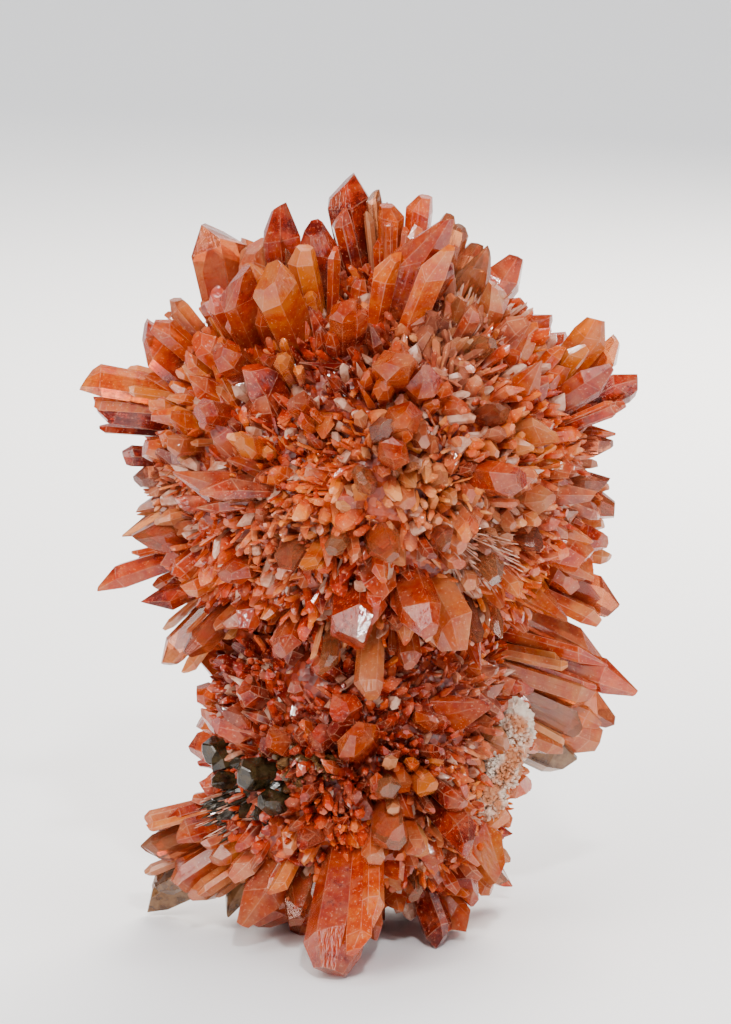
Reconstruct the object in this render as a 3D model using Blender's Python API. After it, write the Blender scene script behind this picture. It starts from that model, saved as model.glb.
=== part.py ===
"""A creedite specimen: a ball of radiating crystals on a smaller, narrower burst whose crystals it stands on.

It grew as one piece, so it is one solid. Every crystal is a six-sided prism that widens outwards and ends in six
slanted faces, cut off by one small facet. The crystals that the eye picks out are placed one by one, and the rest
spread over the ball and the foot on spirals.

Units are metres, +Z is up. The origin is the middle of the base, on the surface that the specimen stands on.
"""

import math

import bmesh
import bpy
import numpy as np
from mathutils import Matrix, Vector

MM = 0.001

# The specimen is laid out as it is seen: across and up in millimetres in an upright picture of it, and a depth away
# from the eye. The eye looks slightly down from a fixed distance.
EYE_TILT = math.radians(12)
EYE_DISTANCE = 600.0
EYE_HEIGHT = 40.0
EYE_UP = Vector((0, math.sin(EYE_TILT), math.cos(EYE_TILT)))
EYE_BACK = Vector((0, -math.cos(EYE_TILT), math.sin(EYE_TILT)))

# Where the picture's zero lies from the middle of the base.
PICTURE_ZERO = Vector((-0.11, 3.91, 0.0))

# The two masses that the crystals grow from: the middle of each (across, up, depth), its half sizes in the same
# order, and how far its sides are straightened from a ball towards a barrel.
BALL_HEART, BALL_HALF, BALL_BARREL = (0.5, 45.0, -3.0), (20.2, 19.0, 18.4), 0.0
FOOT_HEART, FOOT_HALF, FOOT_BARREL = (-0.3, 17.5, -5.0), (13.6, 15.5, 11.8), 1.0
MASSES = [(BALL_HEART, BALL_HALF), (FOOT_HEART, FOOT_HALF)]
ROOT_INSIDE = 0.8

# Short crystals packed side by side cover each mass: one grows on every facet. All but the step count are shares
# of the mass's size: how far the facets' corners stray, the groove between crystals, and their straight and
# slanted heights.
PACKED_STEPS = 2
CORNER_STRAY = 0.05
GROOVE = 0.022
PACKED_SIDE = (0.05, 0.20)
PACKED_TIP = (0.04, 0.14)
TIP_STRAY = 0.06

# The chalky crust on the right of the foot, as lumps: middle (across, up, depth) and half sizes.
CRUST = [
    ((14.6, 18.4, -8.0), (2.4, 3.0, 3.0)),
    ((13.0, 14.2, -9.5), (2.8, 2.8, 3.0)),
    ((11.8, 10.4, -10.0), (3.0, 2.8, 3.0)),
]

SIDES = 6
# Each form gives the thickness and the tip's length as shares of the width, the top facet as a share of the
# section, and the root as a share of the widest section.
FORMS = {
    "blade": (0.60, 0.62, 0.42, 0.78),
    "prism": (0.80, 0.55, 0.48, 0.84),
    "stub": (0.85, 0.36, 0.70, 0.90),
    "point": (0.60, 1.20, 0.14, 0.74),
    "spindle": (0.80, 1.15, 0.10, 0.18),
}
SHOULDER_JITTER = 0.35
APEX_DRIFT = 0.16
FACET_TILT = 0.45

# The crystals that the eye picks out: tip (across, up, depth), root (across, up, depth), width, form and a turn
# about the crystal's own axis in degrees. A turn of 0 shows its full width to the eye.
BIG_CRYSTALS = [
    # The crown, from left to right.
    ((-15.1, 68.4, 0.0), (-12.6, 56.5, -2.0), 6.2, "blade", 12),
    ((-11.8, 67.2, 1.0), (-10.0, 58.0, 0.0), 3.2, "prism", 30),
    ((-13.2, 63.2, -15.5), (-9.6, 54.5, -8.5), 4.6, "stub", 25),
    ((-9.6, 63.6, -18.0), (-5.4, 54.2, -10.0), 5.0, "stub", 40),
    ((-6.2, 65.9, -10.0), (-5.0, 56.5, -7.5), 4.4, "point", 20),
    ((-8.6, 70.5, -6.0), (-7.6, 59.0, -5.5), 4.4, "blade", 35),
    ((-4.7, 68.4, -11.0), (-4.2, 56.5, -8.5), 4.2, "prism", 10),
    ((-2.0, 73.0, -3.0), (0.0, 62.0, -3.0), 4.6, "blade", 25),
    ((6.0, 68.8, -14.0), (1.4, 54.0, -10.5), 5.6, "blade", 8),
    ((7.6, 65.4, -14.5), (3.6, 58.0, -10.0), 3.8, "prism", 30),
    ((5.6, 71.6, -4.0), (4.6, 62.0, -4.0), 2.8, "prism", 15),
    ((2.6, 70.6, -6.0), (2.4, 62.0, -5.0), 2.6, "stub", 0),
    # Front of the crown, pointing at the eye.
    ((-2.0, 61.0, -21.5), (-1.9, 54.0, -11.5), 3.4, "prism", 20),
    ((3.0, 55.4, -24.0), (2.8, 51.0, -13.0), 4.4, "prism", 15),
    ((6.2, 53.4, -22.5), (4.4, 50.0, -12.5), 3.8, "prism", 35),
    # Left side of the ball, from the top down.
    ((-27.8, 53.4, -5.0), (-17.5, 51.6, -4.0), 3.2, "stub", 10),
    ((-26.9, 50.4, -3.0), (-17.5, 48.8, -2.5), 3.0, "prism", 35),
    ((-22.2, 57.4, -6.0), (-14.5, 50.8, -4.5), 4.0, "stub", 15),
    ((-19.4, 61.3, -4.0), (-13.5, 54.2, -3.0), 2.4, "prism", 40),
    ((-21.0, 59.2, -9.0), (-14.0, 53.0, -6.0), 2.6, "blade", 10),
    ((-23.2, 43.4, -8.0), (-16.0, 44.0, -6.0), 2.6, "prism", 35),
    ((-22.2, 36.8, -10.0), (-13.5, 40.2, -7.0), 3.8, "prism", 25),
    ((-26.2, 33.0, -4.0), (-15.5, 36.6, -3.5), 2.7, "blade", 30),
    ((-21.8, 30.5, -6.0), (-14.0, 34.0, -4.5), 2.6, "point", 5),
    ((-20.3, 24.9, -5.0), (-13.6, 32.2, -4.0), 3.1, "blade", 20),
    ((-17.7, 25.8, -10.5), (-10.5, 33.0, -6.5), 2.8, "prism", 10),
    # Front left of the ball. The spindle is pointed at both ends.
    ((-19.2, 42.9, -20.0), (-9.6, 42.3, -17.5), 4.0, "spindle", 15),
    ((-19.6, 48.8, -13.5), (-11.5, 48.4, -8.0), 2.9, "blade", 20),
    ((-16.6, 50.2, -19.0), (-10.0, 48.8, -9.5), 2.8, "stub", 30),
    ((-14.6, 56.0, -17.5), (-9.0, 51.5, -9.0), 3.4, "prism", 10),
    ((-7.2, 51.2, -25.0), (-3.2, 47.8, -12.5), 2.7, "blade", 10),
    # Front of the ball, down to the hanging blades over the foot.
    ((3.8, 49.8, -25.5), (3.2, 47.0, -13.0), 4.2, "prism", 20),
    ((2.8, 45.9, -26.3), (2.4, 45.4, -13.0), 3.6, "stub", 10),
    ((-0.8, 43.0, -26.2), (1.8, 43.8, -13.0), 3.2, "blade", 5),
    ((-8.2, 34.4, -22.5), (-3.8, 42.0, -13.0), 3.0, "blade", 10),
    ((2.5, 35.3, -26.0), (-0.6, 42.0, -13.5), 3.6, "blade", 12),
    ((10.0, 26.2, -22.5), (4.0, 37.8, -14.0), 4.8, "blade", 22),
    ((-1.3, 27.2, -23.5), (-0.8, 37.5, -12.0), 5.2, "stub", 35),
    ((0.2, 21.4, -19.5), (0.8, 31.0, -14.0), 2.9, "prism", 15),
    ((-8.2, 25.8, -17.0), (-5.4, 33.0, -11.0), 3.0, "prism", 20),
    ((-12.6, 28.4, -15.5), (-8.6, 35.0, -9.5), 3.0, "blade", 15),
    ((-13.6, 33.4, -18.5), (-8.4, 38.4, -10.0), 3.0, "prism", 30),
    ((13.4, 33.6, -20.5), (8.6, 38.0, -11.0), 3.0, "stub", 30),
    # Right side of the ball, from the top down.
    ((12.5, 65.1, -6.0), (6.6, 57.5, -5.5), 3.8, "blade", 10),
    ((11.3, 66.8, -5.0), (6.8, 59.0, -4.5), 2.8, "prism", 30),
    ((15.7, 61.2, -3.0), (10.2, 56.6, -3.0), 2.4, "prism", 20),
    ((18.7, 59.5, -3.0), (11.4, 55.6, -3.0), 2.7, "blade", 25),
    ((23.8, 59.1, -4.0), (16.0, 49.4, -4.0), 3.7, "blade", 8),
    ((25.4, 56.8, -2.0), (16.8, 48.8, -2.5), 3.1, "prism", 30),
    ((24.5, 54.2, -9.0), (15.8, 48.6, -7.0), 3.2, "blade", 10),
    ((27.2, 53.3, -5.0), (17.0, 48.0, -4.0), 3.4, "prism", 20),
    ((18.9, 48.3, -17.5), (9.6, 46.6, -11.5), 3.0, "blade", 5),
    ((17.3, 53.3, -14.5), (10.4, 49.2, -9.0), 3.1, "blade", 20),
    ((14.0, 50.4, -20.0), (8.4, 47.8, -11.5), 2.8, "prism", 35),
    ((12.6, 57.6, -16.0), (7.4, 52.6, -9.0), 2.6, "blade", 10),
    ((18.2, 41.0, -17.0), (10.6, 43.0, -10.0), 3.0, "prism", 15),
    ((17.4, 36.8, -16.0), (10.6, 40.4, -9.5), 2.6, "stub", 10),
    ((24.9, 40.4, -3.0), (15.8, 42.6, -3.0), 3.7, "prism", 35),
    ((23.6, 42.4, -7.0), (15.4, 43.6, -5.5), 2.9, "stub", 10),
    ((23.7, 36.4, -4.0), (15.0, 39.8, -3.5), 3.5, "prism", 20),
    ((25.5, 31.0, -2.0), (14.6, 34.8, -2.5), 4.2, "prism", 20),
    ((27.7, 22.4, 1.0), (10.0, 28.1, -1.5), 3.6, "point", 10),
    ((23.6, 24.6, 1.5), (12.6, 30.4, -1.0), 5.0, "blade", 15),
    ((23.8, 19.6, 3.0), (11.6, 26.2, 0.0), 4.8, "blade", 30),
    ((23.0, 17.0, 4.0), (11.0, 22.0, 0.5), 4.4, "blade", 20),
    ((20.4, 15.0, 2.0), (10.4, 19.4, 0.0), 4.2, "stub", 0),
    # The foot: left side, then the crystals that point down, then its front.
    ((-16.9, 22.2, -5.0), (-9.6, 18.6, -5.0), 2.6, "stub", 25),
    ((-16.3, 16.3, -9.0), (-9.4, 15.4, -6.5), 3.6, "stub", 30),
    ((-12.6, 13.6, -17.5), (-6.0, 14.5, -9.5), 3.4, "stub", 15),
    ((-10.4, 10.6, -17.5), (-5.0, 12.5, -9.5), 3.2, "prism", 40),
    ((-21.4, 6.1, -4.5), (-10.6, 10.4, -5.5), 3.4, "stub", 5),
    ((-21.5, 1.7, -0.6), (-11.0, 6.2, -4.0), 4.2, "stub", 20),
    ((-11.9, -1.0, -14.0), (-5.2, 10.4, -9.5), 4.6, "blade", 35),
    ((-7.6, -1.1, -16.0), (-3.6, 9.6, -10.0), 3.1, "prism", 20),
    ((-3.5, -5.9, -24.4), (-1.0, 10.0, -11.5), 6.2, "prism", 18),
    ((7.7, -3.0, -12.6), (3.8, 7.6, -9.0), 3.2, "stub", 30),
    ((10.8, 1.6, -10.5), (6.0, 9.4, -8.0), 3.6, "prism", 15),
    ((13.6, 2.9, -7.5), (8.0, 9.4, -6.5), 2.4, "stub", 40),
    ((10.6, 6.7, -20.5), (4.6, 13.6, -11.0), 3.8, "prism", 25),
    ((-1.4, 17.9, -22.5), (0.8, 15.0, -11.0), 4.8, "stub", 10),
    ((2.8, 7.0, -23.0), (1.8, 12.4, -11.5), 4.2, "stub", 40),
    ((6.4, 12.4, -22.0), (4.2, 14.2, -11.5), 2.7, "prism", 20),
    ((-6.2, 6.6, -19.5), (-3.0, 11.0, -10.5), 2.8, "prism", 10),
    ((-9.6, 17.4, -17.5), (-4.4, 15.6, -9.5), 3.0, "prism", 40),
    ((6.6, 19.6, -18.5), (3.8, 17.2, -10.5), 2.8, "blade", 10),
]

# The rest of the crystals: how many spiral places the ball and the foot have, how far the tips stand out from the
# mass, the widths, how far the directions lean off the spiral, how near to a placed crystal's direction a place is
# left empty, and how wide a cone towards the other mass stays bare.
FILL_PLACES = (44, 20)
FILL_STAND_OUT = (4.5, 7.5)
FILL_WIDTH = (4.0, 6.4)
FILL_ROOT_SHARE = 0.4
FILL_LEAN = 0.10
CLEAR_ANGLE = math.radians(9)
BARE_CONE = math.radians(42)
FILL_FORMS = ("blade", "prism", "prism", "stub", "blade", "point")
FILL_SEED = 21
SHAPE_SEED = 5
PACKED_SEED = 1

# The crystals under the foot that it stands on, out of sight: tip (across, depth) and width. They are cut off flat
# at the surface, and the widest is the flat spot at the back of the foot.
STANDS_ON = [((-4.5, -6.5), 9.0), ((9.5, 6.0), 5.0), ((-9.5, 7.0), 5.0), ((0.5, 9.5), 4.4)]
STAND_TIP = 2.5
FLOOR_HALF = 60.0
FLOOR_DEPTH = 20.0

CREEDITE_ORANGE = (0.78, 0.20, 0.035, 1.0)


def in_picture(across, up, depth):
    """The point in metres that is seen at (across, up) in the picture and lies at that depth."""
    eye = EYE_UP * EYE_HEIGHT + EYE_BACK * EYE_DISTANCE
    on_plane = Vector((across, 0, 0)) + EYE_UP * up
    sight = on_plane - eye
    place = eye + sight * ((depth - eye.y) / sight.y)
    return (place + PICTURE_ZERO) * MM


def clear_scene():
    for thing in list(bpy.data.objects):
        bpy.data.objects.remove(thing, do_unlink=True)


def new_collection(name, hidden):
    made = bpy.data.collections.new(name)
    made.hide_render = hidden
    bpy.context.scene.collection.children.link(made)
    return made


def object_of(work, name, collection):
    """An object with the bmesh's shape, in the collection. The bmesh is freed."""
    mesh = bpy.data.meshes.new(name)
    bmesh.ops.recalc_face_normals(work, faces=work.faces)
    work.to_mesh(mesh)
    work.free()
    thing = bpy.data.objects.new(name, mesh)
    collection.objects.link(thing)
    if collection.hide_render:
        thing.hide_render = True
        thing.display_type = "WIRE"
    return thing


def crystal_shape(length, width, form, draws):
    """A crystal along +Z from its root at 0: a prism cone whose top is poked to an apex and then cut off.

    The prism widens evenly from the root, so its six sides are flat. Each shoulder corner slides along its own
    edge, which keeps them flat, and the six slanted faces are triangles from there to the apex.
    """
    thickness_share, tip_share, facet_share, root_share = FORMS[form]
    tip = min(width * tip_share, length * 0.5)
    shoulder = length - tip
    apex_height = shoulder + tip / (1 - facet_share)
    work = bmesh.new()
    bmesh.ops.create_cone(work, cap_ends=True, segments=SIDES, radius1=1, radius2=1, depth=2)
    top = max(work.faces, key=lambda face: face.calc_center_median().z)
    apex = bmesh.ops.poke(work, faces=[top])["verts"][0]
    for corner in work.verts:
        if corner is apex:
            drift = Vector(((draws[6] - 0.5) * width, (draws[7] - 0.5) * width * thickness_share, 0))
            corner.co = drift * 2 * APEX_DRIFT + Vector((0, 0, apex_height))
            continue
        side = round(math.atan2(corner.co.y, corner.co.x) / (2 * math.pi / SIDES)) % SIDES
        height = 0.0
        if corner.co.z > 0:
            height = shoulder - (draws[side] - 0.5) * 2 * SHOULDER_JITTER * tip
        spread = root_share + (1 - root_share) * height / shoulder
        angle = side * 2 * math.pi / SIDES
        corner.co = Vector(
            (
                math.cos(angle) * spread * width / 2,
                math.sin(angle) * spread * width * thickness_share / 2,
                height,
            )
        )
    slope = Vector(((draws[8] - 0.5) * 2 * FACET_TILT, (draws[9] - 0.5) * 2 * FACET_TILT, 0))
    bmesh.ops.bisect_plane(
        work,
        geom=work.verts[:] + work.edges[:] + work.faces[:],
        dist=1e-6,
        plane_co=Vector((0, 0, length)),
        plane_no=(Vector((0, 0, 1)) - slope).normalized(),
        clear_outer=True,
    )
    open_edges = [edge for edge in work.edges if edge.is_boundary]
    bmesh.ops.holes_fill(work, edges=open_edges, sides=0)
    return work


def standing_at(root, tip, turn):
    """The matrix that lays a crystal's +Z from root to tip, its width across the view, turned about its axis."""
    axis = (tip - root).normalized()
    across = axis.cross(EYE_BACK)
    if across.length < 1e-6:
        across = Vector((1, 0, 0))
    across.normalize()
    through = axis.cross(across)
    turned = Matrix((across, through, axis)).transposed() @ Matrix.Rotation(turn, 3, "Z")
    return Matrix.Translation(root) @ turned.to_4x4() @ Matrix.Scale(MM, 4)


def add_crystal(name, root, tip, width, form, turn, draws, collection):
    length = (tip - root).length / MM
    crystal = object_of(crystal_shape(length, width, form, draws), name, collection)
    crystal.matrix_world = standing_at(root, tip, turn)
    return crystal


def spiral_directions(count):
    """Directions spread evenly over a sphere on a golden spiral."""
    index = np.arange(count) + 0.5
    height = 1 - 2 * index / count
    turn = index * math.pi * (3 - math.sqrt(5))
    level = np.sqrt(1 - height**2)
    return np.stack([level * np.cos(turn), level * np.sin(turn), height], axis=1)


def add_mass(name, heart, half, barrel, other_heart, random, collection):
    """One mass, covered in short crystals: each facet of a rough ball is pushed out and poked to a point.

    The facets that face the other mass stay bare, so that no gap is sealed up between the two.
    """
    middle = in_picture(*heart)
    towards = in_picture(*other_heart) - middle
    work = bmesh.new()
    bmesh.ops.create_icosphere(work, subdivisions=PACKED_STEPS, radius=1)
    edge = sum(edge.calc_length() for edge in work.edges) / len(work.edges)
    for corner in work.verts:
        stray = Vector(random.random(3) - 0.5) * 2 * CORNER_STRAY
        corner.co = (corner.co + stray).normalized()
    bmesh.ops.bevel(
        work, geom=work.verts[:], offset=edge / 3, segments=1, affect="VERTICES", clamp_overlap=True
    )
    facets = [facet for facet in work.faces if facet.normal.angle(towards) > BARE_CONE]
    bmesh.ops.inset_individual(work, faces=facets, thickness=GROOVE)
    for facet in facets:
        side = facet.normal * (PACKED_SIDE[0] + (PACKED_SIDE[1] - PACKED_SIDE[0]) * random.random())
        for corner in facet.verts:
            corner.co += side
    work.normal_update()
    outward = [facet.normal.copy() for facet in facets]
    for point, way in zip(bmesh.ops.poke(work, faces=facets)["verts"], outward):
        stray = Vector(random.random(3) - 0.5) * 2 * TIP_STRAY
        point.co += stray + way * (PACKED_TIP[0] + (PACKED_TIP[1] - PACKED_TIP[0]) * random.random())
    for corner in work.verts:
        across, depth, up = corner.co
        wider = math.sqrt(1 + barrel * min(up * up, 1))
        corner.co = middle + Vector((across * wider * half[0], depth * wider * half[2], up * half[1])) * MM
    bmesh.ops.triangulate(work, faces=work.faces)
    return object_of(work, name, collection)


def add_lump(name, heart, half, collection):
    work = bmesh.new()
    bmesh.ops.create_icosphere(work, subdivisions=2, radius=1)
    across, up, depth = half
    middle = in_picture(*heart)
    bmesh.ops.transform(work, verts=work.verts, matrix=Matrix.LocRotScale(
        middle, None, Vector((across, depth, up)) * MM))
    return object_of(work, name, collection)


def share_of_mass(place):
    """How far out the place lies in the mass that holds it best: 0 is its middle and 1 its surface."""
    shares = []
    for heart, half in MASSES:
        off = (place - in_picture(*heart)) / MM
        shares.append(Vector((off.x / half[0], off.z / half[1], off.y / half[2])).length)
    return min(shares)


def rooted(root, tip):
    """The root drawn back along its crystal, and then towards the nearest middle, until a mass holds it."""
    back = (root - tip) / 40
    for _ in range(40):
        if share_of_mass(root) < ROOT_INSIDE:
            return root
        root = root + back
    nearest = min((in_picture(*heart) for heart, _ in MASSES), key=lambda heart: (heart - root).length)
    while share_of_mass(root) > ROOT_INSIDE:
        root = root.lerp(nearest, 0.05)
    return root


def placed_crystals():
    """Root, tip, width, form and turn of each crystal that is placed by hand, in metres."""
    found = []
    for tip, root, width, form, turn in BIG_CRYSTALS:
        tip = in_picture(*tip)
        found.append((rooted(in_picture(*root), tip), tip, width, form, math.radians(turn)))
    return found


def standing_crystals():
    """The crystals under the foot, out of sight, whose tips are cut off at the surface."""
    heart = in_picture(*FOOT_HEART)
    found = []
    for (across, depth), width in STANDS_ON:
        tip = Vector((across + PICTURE_ZERO.x, depth + PICTURE_ZERO.y, -STAND_TIP)) * MM
        found.append((heart.lerp(tip, 0.3), tip, width, "stub", 0.0))
    return found


def spread_crystals(places, heart, half, others, draws):
    """Crystals over one mass, pointing away from its middle, where no other crystal already points."""
    middle = in_picture(*heart)
    taken = [tip - middle for _, tip, *_ in others if share_of_mass(tip) < 2]
    neighbours = [in_picture(*other) - middle for other, _ in MASSES if other != heart]
    found = []
    for way, draw in zip(spiral_directions(places), draws):
        direction = (Vector(way) + Vector(draw[:3] - 0.5) * 2 * FILL_LEAN).normalized()
        if any(direction.angle(other) < BARE_CONE for other in neighbours):
            continue
        if any(direction.angle(other) < CLEAR_ANGLE for other in taken):
            continue
        stand_out = FILL_STAND_OUT[0] + (FILL_STAND_OUT[1] - FILL_STAND_OUT[0]) * draw[3] ** 2
        surface = Vector((direction.x * half[0], direction.y * half[2], direction.z * half[1]))
        tip = middle + (surface + direction * stand_out) * MM
        root = middle + surface * FILL_ROOT_SHARE * MM
        width = FILL_WIDTH[0] + (FILL_WIDTH[1] - FILL_WIDTH[0]) * draw[4] ** 1.5
        form = FILL_FORMS[int(draw[5] * len(FILL_FORMS))]
        found.append((root, tip, width, form, draw[6] * math.pi))
    return found


def all_crystals():
    random = np.random.default_rng(FILL_SEED)
    placed = placed_crystals() + standing_crystals()
    found = list(placed)
    for places, (heart, half) in zip(FILL_PLACES, MASSES):
        found += spread_crystals(places, heart, half, placed, random.random((places, 7)))
    return found


def finish_material():
    material = bpy.data.materials.new("creedite")
    material.use_nodes = True
    surface = material.node_tree.nodes["Principled BSDF"]
    surface.inputs["Base Color"].default_value = CREEDITE_ORANGE
    surface.inputs["Roughness"].default_value = 0.12
    surface.inputs["Metallic"].default_value = 0.0
    surface.inputs["IOR"].default_value = 1.46
    return material


def add_boolean(target, name, operation, operand):
    modifier = target.modifiers.new(name, "BOOLEAN")
    modifier.operation = operation
    modifier.solver = "EXACT"
    if isinstance(operand, bpy.types.Collection):
        modifier.operand_type = "COLLECTION"
        modifier.collection = operand
    else:
        modifier.object = operand


def main():
    clear_scene()
    specimen = new_collection("creedite", hidden=False)
    growth = new_collection("crystals", hidden=True)
    cutters = new_collection("cutters", hidden=True)

    random = np.random.default_rng(PACKED_SEED)
    cluster = add_mass("creedite_cluster", BALL_HEART, BALL_HALF, BALL_BARREL, FOOT_HEART, random, specimen)
    add_mass("foot_mass", FOOT_HEART, FOOT_HALF, FOOT_BARREL, BALL_HEART, random, growth)
    for number, (middle, half) in enumerate(CRUST):
        add_lump(f"crust_{number}", middle, half, growth)

    crystals = all_crystals()
    draws = np.random.default_rng(SHAPE_SEED).random((len(crystals), 10))
    for number, (root, tip, width, form, turn) in enumerate(crystals):
        add_crystal(f"crystal_{number}", root, tip, width, form, turn, draws[number], growth)

    below = bmesh.new()
    bmesh.ops.create_cube(below, size=2)
    for corner in below.verts:
        corner.co.x *= FLOOR_HALF * MM
        corner.co.y *= FLOOR_HALF * MM
        corner.co.z = (corner.co.z - 1) / 2 * FLOOR_DEPTH * MM
    floor = object_of(below, "below_the_surface", cutters)

    add_boolean(cluster, "crystals", "UNION", growth)
    add_boolean(cluster, "flat_underneath", "DIFFERENCE", floor)
    cluster.data.materials.append(finish_material())
    print(len(crystals), "crystals")


main()
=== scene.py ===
# %% [markdown]
# # A creedite specimen, crystal by crystal
#
# Creedite is a soft orange mineral that grows as bursts of glassy, six-sided crystals. This specimen is a
# ball of them, nearly a third wider than a golf ball, on a narrower burst whose lowest tips it stands on.
# Everything here is worked out as whole arrays of numbers: one function makes thousands of crystals at once,
# and a crystal's place, size and colour are rows in a table.
#
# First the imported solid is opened. It fixes the size and the place of everything that follows.

import math

import bpy
import numpy as np
from mathutils import Matrix


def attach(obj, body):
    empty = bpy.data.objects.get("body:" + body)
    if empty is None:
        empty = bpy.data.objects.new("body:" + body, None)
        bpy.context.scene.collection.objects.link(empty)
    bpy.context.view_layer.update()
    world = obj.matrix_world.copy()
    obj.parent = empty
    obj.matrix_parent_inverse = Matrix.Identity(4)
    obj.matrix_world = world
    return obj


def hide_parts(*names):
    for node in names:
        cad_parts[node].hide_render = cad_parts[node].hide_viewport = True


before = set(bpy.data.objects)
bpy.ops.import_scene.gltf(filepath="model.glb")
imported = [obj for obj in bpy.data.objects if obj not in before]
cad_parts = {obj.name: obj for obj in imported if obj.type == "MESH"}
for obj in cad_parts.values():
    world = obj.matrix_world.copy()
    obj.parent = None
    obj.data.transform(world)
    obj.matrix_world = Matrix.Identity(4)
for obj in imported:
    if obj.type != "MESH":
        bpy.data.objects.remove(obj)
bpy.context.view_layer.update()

MM = 0.001
CLUSTER = "creedite_cluster"

# %% [markdown]
# ## The eye, and how a place in the picture becomes a place in space
#
# The specimen was photographed from a little above its middle. It could be modelled by guessing coordinates
# and comparing, but it is easier to say where things are seen: so many millimetres across and up in the
# picture, and a depth away from the eye. A line from the eye through that spot, followed to that depth, gives
# the place in space.

# %% Picture coordinates
EYE_TILT = math.radians(12)
EYE_DISTANCE = 600.0
EYE_HEIGHT = 40.0
EYE_UP = np.array([0.0, math.sin(EYE_TILT), math.cos(EYE_TILT)])
EYE_BACK = np.array([0.0, -math.cos(EYE_TILT), math.sin(EYE_TILT)])
PICTURE_ZERO = np.array([-0.11, 3.91, 0.0])
EYE = EYE_UP * EYE_HEIGHT + EYE_BACK * EYE_DISTANCE


def in_picture(spots):
    """Places in mm for spots (across, up, depth): the sight line from the eye, followed to that depth."""
    spots = np.atleast_2d(np.asarray(spots, float))
    on_plane = spots[:, :1] * [1.0, 0.0, 0.0] + spots[:, 1:2] * EYE_UP
    sight = on_plane - EYE
    reach = (spots[:, 2] - EYE[1]) / sight[:, 1]
    return EYE + sight * reach[:, None] + PICTURE_ZERO


print("middle of the ball:", in_picture((0.5, 45, -3)).round(1))

# %% [markdown]
# ## Camera
#
# The camera stands where the eye is and looks along the same line, so the table of crystals and the picture
# agree. Its lens is chosen so that one millimetre at the specimen covers ten of the picture's 1024 rows.

# %% Camera
PICTURE_TALL = 102.4
camera = bpy.data.objects.new("camera", bpy.data.cameras.new("camera"))
bpy.context.scene.collection.objects.link(camera)
camera.data.sensor_fit = "VERTICAL"
camera.data.sensor_height = 24.0
camera.data.lens = 24.0 * EYE_DISTANCE / PICTURE_TALL
camera.data.clip_start = 0.05
camera.location = (EYE + PICTURE_ZERO) * MM
camera.rotation_euler = (math.radians(90) - EYE_TILT, 0, 0)
bpy.context.scene.camera = camera
print("camera at, mm:", (EYE + PICTURE_ZERO).round(1), "lens", round(camera.data.lens, 1))

# %% [markdown]
# ## Floor and light
#
# Glassy crystals show mostly what is around them. Broad soft lights lay pale sheets on the facets that face
# them, and a light from behind makes the thin tips glow. The floor is plain and pale.

# %% Floor, world and lights
def lamp(name, place, size, power, colour, faces=(0.0, 0.0, 38.0)):
    """A square area light, turned to face the middle of the specimen or another place, all in mm."""
    light = bpy.data.lights.new(name, "AREA")
    light.size = size * MM
    light.energy = power
    light.color = colour
    thing = bpy.data.objects.new(name, light)
    bpy.context.scene.collection.objects.link(thing)
    way = np.array(faces) - place
    back = -way / np.linalg.norm(way)
    side = np.cross([0.0, 0.0, 1.0], back)
    side /= np.linalg.norm(side)
    turned = Matrix(np.column_stack([side, np.cross(back, side), back]).tolist())
    thing.matrix_world = Matrix.Translation((place[0] * MM, place[1] * MM, place[2] * MM)) @ turned.to_4x4()
    return thing


def new_material(name):
    """A material, its node tree and its Principled shader."""
    material = bpy.data.materials.new(name)
    material.use_nodes = True
    return material, material.node_tree, material.node_tree.nodes["Principled BSDF"]


def settings(node, **values):
    """Plain values for a node's sockets; a name says IOR or Base_Color, with _ for a space."""
    for name, value in values.items():
        node.inputs[name.replace("_", " ")].default_value = value
    return node


def swept_floor(front, back, bend, top, wide, steps=24):
    """A floor from front to back that bends up along a quarter circle and goes on to the top, in metres."""
    turn = np.linspace(0, np.pi / 2, steps)
    depth = np.concatenate([[front], back + bend * np.sin(turn), [back + bend]])
    height = np.concatenate([[0.0], bend - bend * np.cos(turn), [top]])
    corners = np.stack([np.stack([np.full(len(depth), side), depth, height], 1) for side in (-wide, wide)], 1)
    first = np.arange(len(depth) - 1) * 2
    mesh = bpy.data.meshes.new("floor")
    quads = np.stack([first, first + 1, first + 3, first + 2], 1)
    mesh.from_pydata(corners.reshape(-1, 3).tolist(), [], quads.tolist())
    mesh.shade_smooth()
    return mesh


floor = bpy.data.objects.new("floor", swept_floor(-3.0, 0.7, 0.9, 3.0, 3.5))
bpy.context.scene.collection.objects.link(floor)
floor_paint, _, floor_surface = new_material("pale floor")
settings(floor_surface, Base_Color=(0.90, 0.90, 0.91, 1), Roughness=0.6)
floor.data.materials.append(floor_paint)

world = bpy.data.worlds.new("studio")
world.use_nodes = True
settings(world.node_tree.nodes["Background"], Color=(0.80, 0.82, 0.86, 1), Strength=0.27)
bpy.context.scene.world = world

lamp("key", np.array([-260.0, -330.0, 330.0]), 300, 2.7, (1.0, 0.95, 0.89))
lamp("fill", np.array([380.0, -300.0, 140.0]), 320, 1.1, (0.95, 0.97, 1.0))
glow = lamp("glow", np.array([120.0, 330.0, 260.0]), 220, 3.8, (1.0, 0.93, 0.84))
glow.visible_glossy = False
lamp("sparkle", np.array([60.0, -420.0, 420.0]), 40, 2.2, (1.0, 1.0, 1.0))
backdrop = lamp(
    "backdrop light", np.array([0.0, 200.0, 1900.0]), 1600, 45.0, (1.0, 1.0, 1.0), (0.0, 1700.0, 500.0)
)
backdrop.visible_glossy = False

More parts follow.
